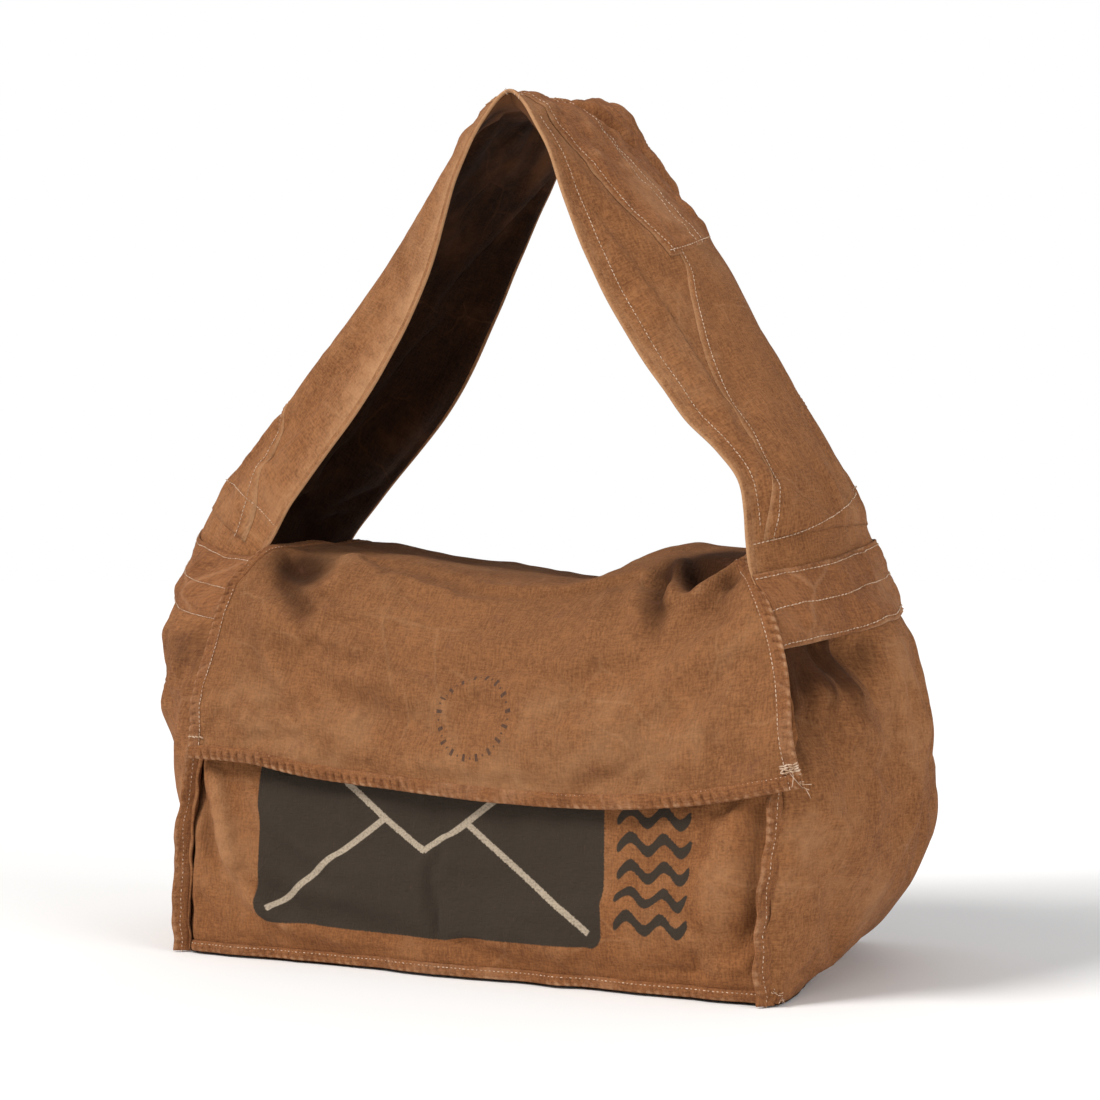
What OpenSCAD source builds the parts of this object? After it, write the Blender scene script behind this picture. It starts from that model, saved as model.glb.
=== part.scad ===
// Canvas mail sack: a box-shaped carrier bag with a turned-out seam on every front and back edge,
// a cover flap in two stretches, and a wide shoulder strap that stands over it as an arch.
// X runs along the front panel, Y to the back, Z up. The origin is on the floor below the middle.

/* [Bag body] */
// Width of the front and back panels at the floor
body_w = 480; // [440:1:520]
// Depth of the bag at the floor
body_d = 268; // [250:1:290]
// Height of the side walls
body_h = 300; // [290:1:310]
// How far each side wall swells out beyond its seams
side_bulge = 58; // [40:1:65]
// How far the front and back panels swell out
panel_bulge = 8; // [4:1:10]
// Height of the mouth at the front panel
front_h = 262; // [250:1:266]
// Height of the mouth at the back panel
back_h = 291; // [280:1:292]
// Thickness of one layer of canvas
canvas_t = 1.8; // [1.2:0.1:2]
// Width of a turned-out seam
seam_w = 8; // [6:0.5:9]
// Thickness of a turned-out seam
seam_t = 3; // [2:0.5:3.5]

/* [Flap] */
// Height of the fold that joins the flap to the back panel
rear_fold_z = 297; // [296:1:300]
// Distance of that fold behind the middle of the bag
rear_fold_y = 104; // [102:1:108]
// Height of the fold where the flap turns down over the front
front_fold_z = 286; // [284:1:290]
// Distance of that fold in front of the middle of the bag
front_fold_y = 80; // [76:1:84]
// Half of the width of the flap where it lies on top
flap_top_half = 194; // [185:1:196]
// Half of the width of the flap at its bottom hem
flap_hem_half = 238; // [225:1:242]
// How far the bottom of the flap hangs to the right
flap_shift = 22; // [0:1:24]
// Height of the bottom hem of the flap at its middle
flap_hem_z = 127; // [120:1:140]
// How much higher its two corners hang
corner_rise = 20; // [0:1:24]
// Width of a hem
hem_w = 9; // [7:0.5:12]

/* [Shoulder strap] */
// Half of the width of the strap, edge to edge, at the bag
strap_half = 100; // [95:1:101]
// Height of the bottom edge of the strap where it is sewn on
strap_base_z = 240; // [235:1:245]
// Height of the middle of the strap's ridge
apex_z = 646; // [620:1:660]
// Distance of that ridge to the right of the middle
apex_x = 22; // [0:1:30]
// Rise of the ridge from its middle to its back edge
ridge_tilt = 15; // [0:1:20]
// Height of the line about which the strap swings
swing_z = 305; // [300:1:308]
// Radius from that line at which the sewn ends pass into the strap
swing_r = 112; // [106:1:114]

/* [Hidden] */

canvas = "#9a6a45";
worn_canvas = "#a87c58";
dark_canvas = "#6b4630";
thread = "#d8cdbd";

// Air between two pieces that are sewn together
gap = 0.5;
// Air between a turned-out seam and the panels that it joins
seam_root = 2.5;
// Radius of the rolled cloth along each fold of the flap
fold_r = 2.2;
// Reach of a cutter that has to pass right through a piece
far = 700;

// Half-height sections of a side wall: [height, x of its seams, bulge, y of its seams]
side_sections = [
    [0, body_w / 2 - 2, 3, body_d / 2 - 1],
    [20, body_w / 2, 0.2 * side_bulge, body_d / 2 - 1],
    [50, body_w / 2, 0.55 * side_bulge, body_d / 2],
    [95, body_w / 2, 0.87 * side_bulge, body_d / 2 - 2],
    [150, body_w / 2, side_bulge, body_d / 2 - 6],
    [200, body_w / 2 - 2, side_bulge, body_d / 2 - 16],
    [strap_base_z, body_w / 2 - 11, 0.85 * side_bulge, body_d / 2 - 31],
    [body_h, body_w / 2 - 37, 0.85 * side_bulge, body_d / 2 - 34]
];

// Stations of the strap from its left end over the ridge to its right end:
// [x of the edges, height of the edges, how far the middle arches out, half of the width]
strap_stations = [
    [-body_w / 2 + 4, strap_base_z, 54, strap_half],
    [-body_w / 2 + 31, 300, 58, strap_half],
    [-184, 342, 78, strap_half - 10],
    [-122, 412, 90, strap_half - 24],
    [-70, 500, 70, strap_half - 22],
    [-30, 586, 38, strap_half - 12],
    [apex_x, apex_z, 4, strap_half - 4],
    [49, 598, 32, strap_half - 4],
    [84, 510, 48, strap_half - 2],
    [146, 412, 52, strap_half - 1],
    [186, 346, 54, strap_half],
    [body_w / 2 - 31, 300, 58, strap_half],
    [body_w / 2 - 4, strap_base_z, 54, strap_half]
];

// The fall of the flap from its fold to its hem: [y, height]
fall_line = [
    [-front_fold_y, front_fold_z], [-104, 275], [-125, 247], [-138, 206], [-145, 165],
    [-146, flap_hem_z]
];
// [height, half-width, shift to the right] of the fall
fall_widths = [
    [flap_hem_z, flap_hem_half, flap_shift], [190, flap_hem_half - 3, 0.9 * flap_shift],
    [225, flap_hem_half - 14, 0.6 * flap_shift], [245, 208, 0.25 * flap_shift],
    [262, flap_top_half, 0], [front_fold_z + 1, flap_top_half, 0]
];

function mix(a, b, f) = a + (b - a) * f;
function column(rows, n) = [for (r = rows) [r[0], r[n]]];
function unit(v) = v / norm(v);

// A smooth curve through the points p, from f = 0 at the first to f = 1 at the last
function through(p, f) =
    let (n = len(p) - 1, i = max(0, min(floor(f * n), n - 1)), u = f * n - i)
    let (b = p[i], c = p[i + 1])
    let (a = i > 0 ? p[i - 1] : 2 * b - c, d = i < n - 1 ? p[i + 2] : 2 * c - b)
    (2 * b + (c - a) * u + (2 * a - 5 * b + 4 * c - d) * u * u
        + (3 * b - a - 3 * c + d) * u * u * u) / 2;

// The side walls' seams and bulge at a height
function seam_x(z) = lookup(z, column(side_sections, 1));
function bulge_at(z) = lookup(z, column(side_sections, 2));
function seam_y(z) = lookup(z, column(side_sections, 3));

// A point on a side wall, where side is -1 or 1 and t runs from -1 at the front to 1 at the back
function side_point(side, z, t) = [
    side * (seam_x(z) + bulge_at(z) * (1 - pow(abs(t), z < 200 ? 3 : 2))), t * seam_y(z), z
];

// A point on the front panel (face -1) or the back panel (face 1), where u runs across it
function face_point(face, u, z) = [
    u * (seam_x(z) - canvas_t - 2 * gap),
    face * (seam_y(z) + panel_bulge * (1 - u * u) * sin(180 * min(1, z / body_h))), z
];

// A point on a turned-out seam, which stands away from its corner
function seam_point(side, face, z, r) = [
    side * (seam_x(z) + 0.8 * r), face * (seam_y(z) + 0.6 * r), z
];

// The strap's edge line and the way it faces at station s, from 0 to 1
function strap_line(s) = through(strap_stations, s);
function strap_facing_way(s) =
    let (e = 0.004, a = strap_line(max(0, s - e)), b = strap_line(min(1, s + e)))
    let (out = unit([a[1] - b[1], b[0] - a[0]]))
    let (level = max(0, min(1, (strap_line(s)[1] - 262) / 80)))
    unit(mix([s < 0.5 ? -1 : 1, 0], out, level));

// A point on the strap, where t runs from -1 at its front edge to 1 at its back edge
function strap_point(s, t) =
    let (line = strap_line(s), way = strap_facing_way(s))
    let (arch = line[2] * (1 - t * t), tilt = ridge_tilt * max(0, 1 - abs(s - 0.5) / 0.25))
    [line[0] + way[0] * arch, line[3] * t, line[1] + way[1] * arch + tilt * t];

// A point on the top of the flap, with v from 0 at the rear fold to 1 at the front fold
function flap_top_point(u, v) =
    let (half = flap_top_half + 16 * sin(180 * v) * (1 - v))
    [
        u * half, mix(rear_fold_y, -front_fold_y, v),
        mix(rear_fold_z, front_fold_z, v) + (9 * u * u - 5) * sin(180 * v)
    ];

// A point on the fall of the flap, with v from 0 at the front fold to 1 at the hem
function flap_fall_point(u, v) =
    let (line = through(fall_line, v), z = line[1] + corner_rise * pow(abs(u), 2.5) * pow(v, 4))
    [
        lookup(z, column(fall_widths, 2)) + u * lookup(z, column(fall_widths, 1)),
        line[0], z
    ];

// The direction that a grid of points faces at one of them
function facing(grid, i, j) =
    let (n = len(grid) - 1, m = len(grid[0]) - 1)
    let (along = grid[min(i + 1, n)][j] - grid[max(i - 1, 0)][j])
    let (across = grid[i][min(j + 1, m)] - grid[i][max(j - 1, 0)])
    unit(cross(along, across));

// Numbers from a to b in n steps
function steps(a, b, n) = [for (i = [0:n]) mix(a, b, i / n)];

// A layer of cloth on a grid of points, from the distance low to the distance high off it
module cloth(grid, low, high) {
    rows = len(grid);
    cols = len(grid[0]);
    count = rows * cols;
    points = [
        for (h = [high, low]) for (i = [0:rows - 1]) for (j = [0:cols - 1])
            grid[i][j] + h * facing(grid, i, j)
    ];
    squares = [
        for (i = [0:rows - 2]) for (j = [0:cols - 2])
            [i * cols + j, i * cols + j + 1, (i + 1) * cols + j + 1, (i + 1) * cols + j]
    ];
    rim = concat(
        [for (j = [0:cols - 2]) j],
        [for (i = [0:rows - 2]) i * cols + cols - 1],
        [for (j = [cols - 1:-1:1]) (rows - 1) * cols + j],
        [for (i = [rows - 1:-1:1]) i * cols]
    );
    polyhedron(points, concat(
        [for (q = squares) each [[q[0], q[1], q[2]], [q[0], q[2], q[3]]]],
        [for (q = squares) each [[q[0], q[2], q[1]] + count * [1, 1, 1],
            [q[0], q[3], q[2]] + count * [1, 1, 1]]],
        [for (k = [0:len(rim) - 1]) let (a = rim[k], b = rim[(k + 1) % len(rim)])
            each [[a, a + count, b], [b, a + count, b + count]]]
    ));
}

// Cloth on a face of the bag. The grid is turned so that it always faces outwards.
module face_cloth(face, u_values, z_values, low, high) {
    cloth([for (z = z_values) [for (u = u_values) face_point(face, -face * u, z)]], low, high);
}

module side_cloth(side, z_values, t_values, low, high) {
    cloth([for (z = z_values) [for (t = t_values) side_point(side, z, side * t)]], low, high);
}

// A layer of the strap. All its layers share the rows of this grid, so that they lie parallel.
module strap_cloth(s_values, low, high, front = -1, back = 1) {
    cloth([for (s = s_values) [for (t = steps(front, back, 16)) strap_point(s, t)]], low, high);
}

// Stations from a to b, each in hundredths of the strap's length
function rows(a, b) = steps(a / 100, b / 100, round((b - a) / 2));

module corner_seam(side, face) {
    heights = steps(1, (face < 0 ? front_h : back_h) - 2, 12);
    near = seam_root;
    ends = side * face > 0 ? [near, near + seam_w] : [near + seam_w, near];
    cloth([for (z = heights) [for (r = ends) seam_point(side, face, z, r)]],
        -seam_t / 2, seam_t / 2);
}

module bottom_seam(face) {
    length = body_w - 6;
    near = body_d / 2 + gap;
    translate([-length / 2, face < 0 ? -near - seam_t : near, 0])
        cube([length, seam_t, seam_w]);
}

// The turning cylinder that parts the strap from its sewn ends
module swing_cutter(r) {
    translate([0, 0, swing_z]) rotate([0, 90, 0]) cylinder(h = far, r = r, center = true, $fn = 96);
}

module strap_end(side) {
    intersection() {
        strap_cloth(side < 0 ? rows(0, 30) : rows(70, 100), -1, 2.6);
        swing_cutter(swing_r - 0.15);
    }
}

module band(side) {
    reach = side < 0 ? rows(0, 8) : rows(92, 100);
    color(worn_canvas) strap_cloth(reach, 2.6 + gap, 2.6 + gap + 1.4 * canvas_t);
}

module strap_lining(side) {
    reach = side < 0 ? concat(rows(8, 48), 0.497) : concat(0.503, rows(52, 92));
    color(dark_canvas) difference() {
        strap_cloth(reach, -1.2 * canvas_t - gap, -1 - gap);
        swing_cutter(swing_r + 0.15);
    }
}

// The tapered layer on the outside of each leg of the strap
module strap_facing(side) {
    reach = side < 0 ? concat(rows(8, 38), 0.396) : concat(0.604, rows(62, 92));
    color(canvas) difference() {
        cloth([for (s = reach) let (f = (min(s, 1 - s) - 0.08) / 0.316)
            [for (w = steps(0, 1, 14))
                strap_point(s, mix(mix(-0.86, -0.3, f), mix(0.94, 0.5, f), w))]],
            1 + gap, 2.8);
        swing_cutter(swing_r + 0.15);
    }
}

module fold_roll(y, z, half) {
    translate([0, y, z]) rotate([0, 90, 0]) cylinder(h = 2 * half, r = fold_r, center = true, $fn = 32);
}

module fall_hem(side) {
    rows = steps(0.06, 0.985, 14);
    inner = 1 - hem_w / flap_hem_half;
    cloth([for (v = rows) [for (u = side < 0 ? [-1, -inner] : [inner, 1]) flap_fall_point(u, v)]],
        -2.6, -1 - gap);
}

module top_hem(side) {
    rows = steps(0.04, 0.96, 10);
    inner = 1 - hem_w / flap_top_half;
    color(worn_canvas)
        cloth([for (v = rows) [for (u = side < 0 ? [-1, -inner] : [inner, 1]) flap_top_point(u, v)]],
            -2.6, -1 - gap);
}

module front_panel() {
    color(canvas)
        face_cloth(-1, steps(-1, 1, 12), steps(seam_w + gap, front_h, 12), -canvas_t, 0);
}

module back_panel() {
    color(canvas) face_cloth(1, steps(-1, 1, 12), steps(seam_w + gap, back_h, 12), -canvas_t, 0);
}

module bottom_panel() {
    color(dark_canvas) linear_extrude(2) polygon(concat(
        [for (t = steps(-0.985, 0.985, 8)) [side_point(1, 0, t)[0], side_point(1, 0, t)[1]]],
        [for (t = steps(0.985, -0.985, 8)) [side_point(-1, 0, t)[0], side_point(-1, 0, t)[1]]]
    ));
}

module left_gusset() {
    color(canvas)
        side_cloth(-1, concat(steps(2 + gap, 200, 8), [220, 240, 270, body_h]),
            steps(-0.99, 0.99, 12), -canvas_t, 0);
}

module right_gusset() {
    color(canvas)
        side_cloth(1, concat(steps(2 + gap, 200, 8), [220, 240, 270, body_h]),
            steps(-0.99, 0.99, 12), -canvas_t, 0);
}

module front_left_seam() { color(worn_canvas) corner_seam(-1, -1); }
module front_right_seam() { color(worn_canvas) corner_seam(1, -1); }
module front_bottom_seam() { color(worn_canvas) bottom_seam(-1); }
module back_left_seam() { color(worn_canvas) corner_seam(-1, 1); }
module back_right_seam() { color(worn_canvas) corner_seam(1, 1); }
module back_bottom_seam() { color(worn_canvas) bottom_seam(1); }

module front_mouth_hem() {
    color(worn_canvas)
        face_cloth(-1, steps(-0.97, 0.97, 12), [front_h - hem_w, front_h - gap],
            -canvas_t - gap - 1.4, -canvas_t - gap);
}

module left_band() { band(-1); }
module right_band() { band(1); }
module left_strap_end() { color(canvas) strap_end(-1); }
module right_strap_end() { color(canvas) strap_end(1); }

module flap_top() {
    color(canvas) union() {
        cloth([for (v = steps(0, 1, 10)) [for (u = steps(-1, 1, 12)) flap_top_point(u, v)]], -1, 1);
        fold_roll(rear_fold_y, rear_fold_z, flap_top_half - 2);
        fold_roll(-front_fold_y, front_fold_z, flap_top_half - 2);
    }
}

module flap_top_left_hem() { top_hem(-1); }
module flap_top_right_hem() { top_hem(1); }

module flap_fall() {
    rows = steps(0.045, 1, 16);
    color(canvas)
        cloth([for (v = rows) [for (u = steps(-1, 1, 14)) flap_fall_point(u, v)]], -1, 1);
}

module flap_left_hem() { color(worn_canvas) fall_hem(-1); }
module flap_right_hem() { color(worn_canvas) fall_hem(1); }

module flap_bottom_hem() {
    inner = 1 - (hem_w + 1.5) / flap_hem_half;
    color(worn_canvas)
        cloth([for (v = [0.94, 0.998]) [for (u = steps(-inner, inner, 14)) flap_fall_point(u, v)]],
            -2.6, -1 - gap);
}

module flap_corner_tacks() {
    color(thread) for (side = [-1, 1])
        cloth([for (v = [0.93, 0.965]) [for (u = side < 0 ? [-0.985, -0.955] : [0.955, 0.985])
            flap_fall_point(u, v)]], 1 + gap, 2.4);
}

module shoulder_strap() {
    color(canvas) difference() {
        strap_cloth(rows(6, 94), -1, 1);
        swing_cutter(swing_r + 0.15);
    }
}

module left_strap_lining() { strap_lining(-1); }
module right_strap_lining() { strap_lining(1); }
module left_strap_facing() { strap_facing(-1); }
module right_strap_facing() { strap_facing(1); }

module shoulder_pad() {
    color(worn_canvas) strap_cloth(rows(40, 60), 1 + gap, 3.4, -0.72, 0.96);
}

front_panel();
back_panel();
bottom_panel();
left_gusset();
right_gusset();
front_left_seam();
front_right_seam();
front_bottom_seam();
back_left_seam();
back_right_seam();
back_bottom_seam();
front_mouth_hem();
left_band();
right_band();
left_strap_end();
right_strap_end();
flap_top();
flap_top_left_hem();
flap_top_right_hem();
flap_fall();
flap_left_hem();
flap_right_hem();
flap_bottom_hem();
flap_corner_tacks();
shoulder_strap();
left_strap_lining();
right_strap_lining();
left_strap_facing();
right_strap_facing();
shoulder_pad();
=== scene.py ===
"""A worn canvas mail sack: a carrier bag with turned-out seams, a cover flap and a wide shoulder
strap that stands up as an arch. Every piece is cloth, made as a grid of points in the frame's metres."""

import math

import bpy
import numpy as np
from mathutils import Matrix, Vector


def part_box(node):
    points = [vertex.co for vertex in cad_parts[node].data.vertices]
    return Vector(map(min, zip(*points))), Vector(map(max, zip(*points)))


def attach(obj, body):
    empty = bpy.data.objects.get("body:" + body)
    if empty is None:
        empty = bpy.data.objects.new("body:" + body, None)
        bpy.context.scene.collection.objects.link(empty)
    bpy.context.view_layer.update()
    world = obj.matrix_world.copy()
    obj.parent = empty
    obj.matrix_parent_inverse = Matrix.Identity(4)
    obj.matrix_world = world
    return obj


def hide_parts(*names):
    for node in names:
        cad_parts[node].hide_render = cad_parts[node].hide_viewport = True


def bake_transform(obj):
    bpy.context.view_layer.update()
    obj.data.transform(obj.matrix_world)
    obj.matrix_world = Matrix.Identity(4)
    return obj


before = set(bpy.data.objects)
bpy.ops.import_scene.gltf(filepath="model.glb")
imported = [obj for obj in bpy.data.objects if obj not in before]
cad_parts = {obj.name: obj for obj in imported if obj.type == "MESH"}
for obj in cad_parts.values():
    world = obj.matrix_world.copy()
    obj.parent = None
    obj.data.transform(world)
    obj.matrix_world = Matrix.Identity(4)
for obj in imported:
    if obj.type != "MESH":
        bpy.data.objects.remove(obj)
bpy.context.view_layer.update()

# ------------------------------------------------------------------ sizes that come from the frame
BOTTOM_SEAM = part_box("front_bottom_seam")
BACK_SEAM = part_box("back_bottom_seam")
HALF_W = BOTTOM_SEAM[1].x + 0.003   # half of the bag's width at the floor
FRONT_Y = BOTTOM_SEAM[1].y          # the face of the front panel at the floor
BACK_Y = BACK_SEAM[0].y             # the face of the back panel at the floor
SEAM_W = BOTTOM_SEAM[1].z           # width of a turned-out seam
WALL_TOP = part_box("left_gusset")[1].z
MOUTH_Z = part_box("front_panel")[1].z
BACK_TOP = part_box("back_panel")[1].z

LAYER = 0.0012                      # one layer of canvas
ON_TOP = 0.0013                     # how far stitches lie above the middle of the cloth
GRID = 0.003                        # spacing of the points on a large piece
FINE = 0.0010                       # spacing along a hem, fine enough for its puckers
PUCKER = 0.0068                     # length of one pucker
STITCH = 0.0033                     # from one stitch to the next
THREAD_PITCH = 0.00085              # from one thread of the weave to the next
GUSSET_HALF = 0.134                 # half of a side wall's width, from seam to seam
STRAP_HALF = 0.122                  # half of the strap's width


# ------------------------------------------------------------------ curves, noise and folds
def curve(x, table):
    """A smooth line through rows of (x, value, ...), read at every x. It is level beyond its ends."""
    table = np.asarray(table, float)
    knots, values = table[:, 0], table[:, 1:]
    gaps = np.diff(knots)[:, None]
    slopes = np.diff(values, axis=0) / gaps
    inner = (slopes[:-1] * gaps[1:] + slopes[1:] * gaps[:-1]) / (gaps[1:] + gaps[:-1])
    tangents = np.vstack([slopes[:1], inner, slopes[-1:]])
    x = np.clip(np.asarray(x, float), knots[0], knots[-1])
    i = np.clip(np.searchsorted(knots, x) - 1, 0, len(knots) - 2)
    h = gaps[i, 0][..., None]
    t = (x[..., None] - knots[i][..., None]) / h
    a, b, ta, tb = values[i], values[i + 1], tangents[i] * h, tangents[i + 1] * h
    out = (a * (1 + 2 * t) + ta * t) * (1 - t) ** 2 + (b * (3 - 2 * t) + tb * (t - 1)) * t * t
    return out[..., 0] if out.shape[-1] == 1 else out


def smooth(x, low, high):
    """0 below low, 1 above high and a soft step between them."""
    t = np.clip((np.asarray(x, float) - low) / (high - low), 0, 1)
    return t * t * (3 - 2 * t)


def peak(x, width, centre=0):
    """1 at the centre, fading softly to both sides over width."""
    return np.exp(-((x - centre) / width) ** 2)


def noise(x, y, size, seed):
    """Smooth noise from -1 to 1. Its lumps are about size wide, or size[0] by size[1]."""
    wide, long = size if isinstance(size, tuple) else (size, size)
    cells = 64
    table = np.random.default_rng(seed).uniform(-1, 1, (cells, cells))
    u, v = np.broadcast_arrays(np.asarray(x, float) / wide, np.asarray(y, float) / long)
    i, j = np.floor(u).astype(int), np.floor(v).astype(int)
    f, g = smooth(u - i, 0, 1), smooth(v - j, 0, 1)
    i0, i1, j0, j1 = i % cells, (i + 1) % cells, j % cells, (j + 1) % cells
    near = table[i0, j0] * (1 - f) + table[i1, j0] * f
    far = table[i0, j1] * (1 - f) + table[i1, j1] * f
    return near * (1 - g) + far * g


def fold(x, y, start, end, width):
    """1 along the line from start to end, fading to the sides over width and softly at both ends."""
    (ax, ay), (bx, by) = start, end
    length = math.hypot(bx - ax, by - ay)
    along = ((x - ax) * (bx - ax) + (y - ay) * (by - ay)) / length
    off = ((x - ax) * (by - ay) - (y - ay) * (bx - ax)) / length
    fade = 0.3 * length
    ends = smooth(along, -0.2 * fade, fade) * smooth(length - along, -0.2 * fade, fade)
    return peak(off, width) * ends


def lump(x, y, centre, radii):
    """A soft round swelling, 1 at its centre."""
    return np.exp(-((x - centre[0]) / radii[0]) ** 2 - ((y - centre[1]) / radii[1]) ** 2)


def relief(x, y, rows, stretch=1.0):
    """The sum of some folds (height, start, end, width) and lumps (height, centre, radii). The folds
    are measured with y stretched."""
    total = 0 * x
    for height, first, second, *width in rows:
        if width:
            first, second = (first[0], first[1] * stretch), (second[0], second[1] * stretch)
            total = total + height * fold(x, y * stretch, first, second, *width)
        else:
            total = total + height * lump(x, y, first, second)
    return total


def bow(t, power=2.0, skew=0.0):
    """A bulge over t from -1 to 1, whose top a skew moves towards -1."""
    return 1 - np.abs(t + skew * (1 - t * t)) ** power


def steps(low, high, spacing):
    """Even numbers from low to high, about spacing apart."""
    return np.linspace(low, high, max(2, int(round(abs(high - low) / spacing)) + 1))


def unit(v):
    """Vectors scaled to length 1."""
    return v / np.maximum(np.linalg.norm(v, axis=-1, keepdims=True), 1e-12)


# ------------------------------------------------------------------ cloth
class Cloth:
    """A grid of points on cloth. flat says where each lies on the flat cut. wear_and_shade is above 0 where
    the cloth is rubbed pale and below 0 where it is painted darker, mostly as shade in its hollows and fold
    valleys."""

    def __init__(self, points, flat_x, flat_y, outwards):
        self.p = np.asarray(points, float)
        self.flat = np.stack(np.broadcast_arrays(flat_x, flat_y), -1).astype(float)
        self.wear_and_shade = np.zeros(self.p.shape[:2])
        self.sign = 1.0
        middle = self.p.shape[0] // 2, self.p.shape[1] // 2
        if self.normals()[middle] @ np.asarray(outwards, float) < 0:
            self.sign = -1.0

    def normals(self):
        """The way that the cloth faces at each point."""
        along = np.gradient(self.p, axis=0)
        across = np.gradient(self.p, axis=1)
        return self.sign * unit(np.cross(along, across))

    def push(self, distance):
        """Moves every point outwards by its distance."""
        distance = np.broadcast_to(distance, self.wear_and_shade.shape)
        self.p = self.p + self.normals() * distance[..., None]
        return self

    def worn(self, amount):
        """Adds rubbed wear (above 0) and painted shade (below 0) to wear_and_shade, which stays between -1
        and 1.
        """
        self.wear_and_shade = np.clip(self.wear_and_shade + amount, -1, 1)
        return self

    def read(self, grid, a, b):
        """A grid's values at the shares a and b of the way along its rows and columns."""
        rows, cols = self.p.shape[:2]
        u = np.clip(np.asarray(a, float), 0, 1) * (rows - 1)
        v = np.clip(np.asarray(b, float), 0, 1) * (cols - 1)
        i, j = np.minimum(u.astype(int), rows - 2), np.minimum(v.astype(int), cols - 2)
        f, g = u - i, v - j
        if grid.ndim == 3:
            f, g = f[..., None], g[..., None]
        near = grid[i, j] * (1 - g) + grid[i, j + 1] * g
        far = grid[i + 1, j] * (1 - g) + grid[i + 1, j + 1] * g
        return near * (1 - f) + far * f

    def at(self, a, b, lift=0.0):
        """Points at the shares a and b, lifted off the cloth, and the cloth's normals there."""
        a, b = np.broadcast_arrays(a, b)
        normal = unit(self.read(self.normals(), a, b))
        return self.read(self.p, a, b) + normal * np.asarray(lift)[..., None], normal

    def spot(self, a, b, lift=0.0):
        """The one point at the shares a and b."""
        return self.at(np.array([a]), np.array([b]), lift)[0][0]

    def layer(self, a, b, lift):
        """A second layer of cloth that lies on this one, over grids of the shares a and b."""
        points, normals = self.at(a, b, lift)
        flat = self.read(self.flat, a, b)
        middle = a.shape[0] // 2, a.shape[1] // 2
        return Cloth(points, flat[..., 0], flat[..., 1], normals[middle])


def lengths(path):
    """How far along a path each of its points lies."""
    return np.concatenate([[0], np.cumsum(np.linalg.norm(np.diff(path, axis=0), axis=1))])


def placed(name, data):
    """A new object in the scene."""
    item = bpy.data.objects.new(name, data)
    bpy.context.scene.collection.objects.link(item)
    return item


def grid_quads(rows, cols):
    """The quads of a grid of points, four point numbers each."""
    ids = np.arange(rows * cols).reshape(rows, cols)
    return np.stack([ids[:-1, :-1], ids[:-1, 1:], ids[1:, 1:], ids[1:, :-1]], -1).reshape(-1, 4)


def tube_quads(rings, sides):
    """The quads of a tube, whose rings have their points in order."""
    ids = np.arange(rings * sides).reshape(rings, sides)
    around = np.roll(ids, -1, axis=1)
    return np.stack([ids[:-1], around[:-1], around[1:], ids[1:]], -1).reshape(-1, 4)


def averaged(grid, reach):
    """A grid's values averaged over the points within reach along its rows and its columns."""
    for axis in (0, 1):
        ends = [(reach, reach) if k == axis else (0, 0) for k in range(grid.ndim)]
        wide = np.pad(grid, ends, mode="edge")
        count = grid.shape[axis]
        grid = sum(np.take(wide, np.arange(k, k + count), axis=axis) for k in range(2 * reach + 1))
        grid = grid / (2 * reach + 1)
    return grid


def settle(cloth, held, slack, cap, weight=0.0, every=2, frames=20):
    """Lets a cloth that is cut a little too large find its own wrinkles, by simulation on a coarse
    grid that stays put where held is true. No point moves further than cap."""
    rows = np.unique(np.append(np.arange(0, cloth.p.shape[0], every), cloth.p.shape[0] - 1))
    cols = np.unique(np.append(np.arange(0, cloth.p.shape[1], every), cloth.p.shape[1] - 1))
    start = cloth.p[np.ix_(rows, cols)]
    n, m = start.shape[:2]
    mesh = bpy.data.meshes.new("settling")
    mesh.from_pydata(start.reshape(-1, 3).tolist(), [], grid_quads(n, m).tolist())
    piece = placed("settling", mesh)
    pins = piece.vertex_groups.new(name="held")
    pins.add(np.flatnonzero(held[np.ix_(rows, cols)].ravel()).tolist(), 1.0, "REPLACE")
    sim = piece.modifiers.new("cloth", "CLOTH")
    sim.settings.quality = 6
    sim.settings.mass = 0.35
    sim.settings.tension_stiffness = sim.settings.compression_stiffness = 25
    sim.settings.shear_stiffness = 8
    sim.settings.bending_stiffness = 1.2
    sim.settings.vertex_group_mass = "held"
    sim.settings.shrink_min = -slack
    sim.settings.effector_weights.gravity = weight
    sim.collision_settings.use_collision = False
    sim.point_cache.frame_start = 1
    sim.point_cache.frame_end = frames
    for step in range(1, frames + 1):
        bpy.context.scene.frame_set(step)
    shape = piece.evaluated_get(bpy.context.evaluated_depsgraph_get()).to_mesh()
    found = np.empty(len(shape.vertices) * 3)
    shape.vertices.foreach_get("co", found)
    moved = np.nan_to_num(found.reshape(n, m, 3) - start)
    moved = 1.1 * (moved - averaged(moved, 7))
    free = averaged(np.where(held[np.ix_(rows, cols)], 0.0, 1.0)[..., None], 2)
    moved *= np.clip(2.5 * free - 1.5, 0, 1)
    far = np.linalg.norm(moved, axis=-1, keepdims=True)
    moved *= np.tanh(far / cap) * cap / np.maximum(far, 1e-9)
    bpy.data.objects.remove(piece)
    bpy.data.meshes.remove(mesh)
    bpy.context.scene.frame_set(1)
    moved = curve(np.arange(cloth.p.shape[0]), np.column_stack([rows, moved.reshape(n, -1)]))
    moved = moved.reshape(-1, m, 3).transpose(1, 0, 2).reshape(m, -1)
    moved = curve(np.arange(cloth.p.shape[1]), np.column_stack([cols, moved]))
    cloth.p = cloth.p + moved.reshape(cloth.p.shape[1], -1, 3).transpose(1, 0, 2)
    return cloth


def edges_held(cloth, margin):
    """True on a cloth's outermost rows and columns."""
    held = np.zeros(cloth.p.shape[:2], bool)
    held[:margin] = held[-margin:] = True
    held[:, :margin] = held[:, -margin:] = True
    return held


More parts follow.
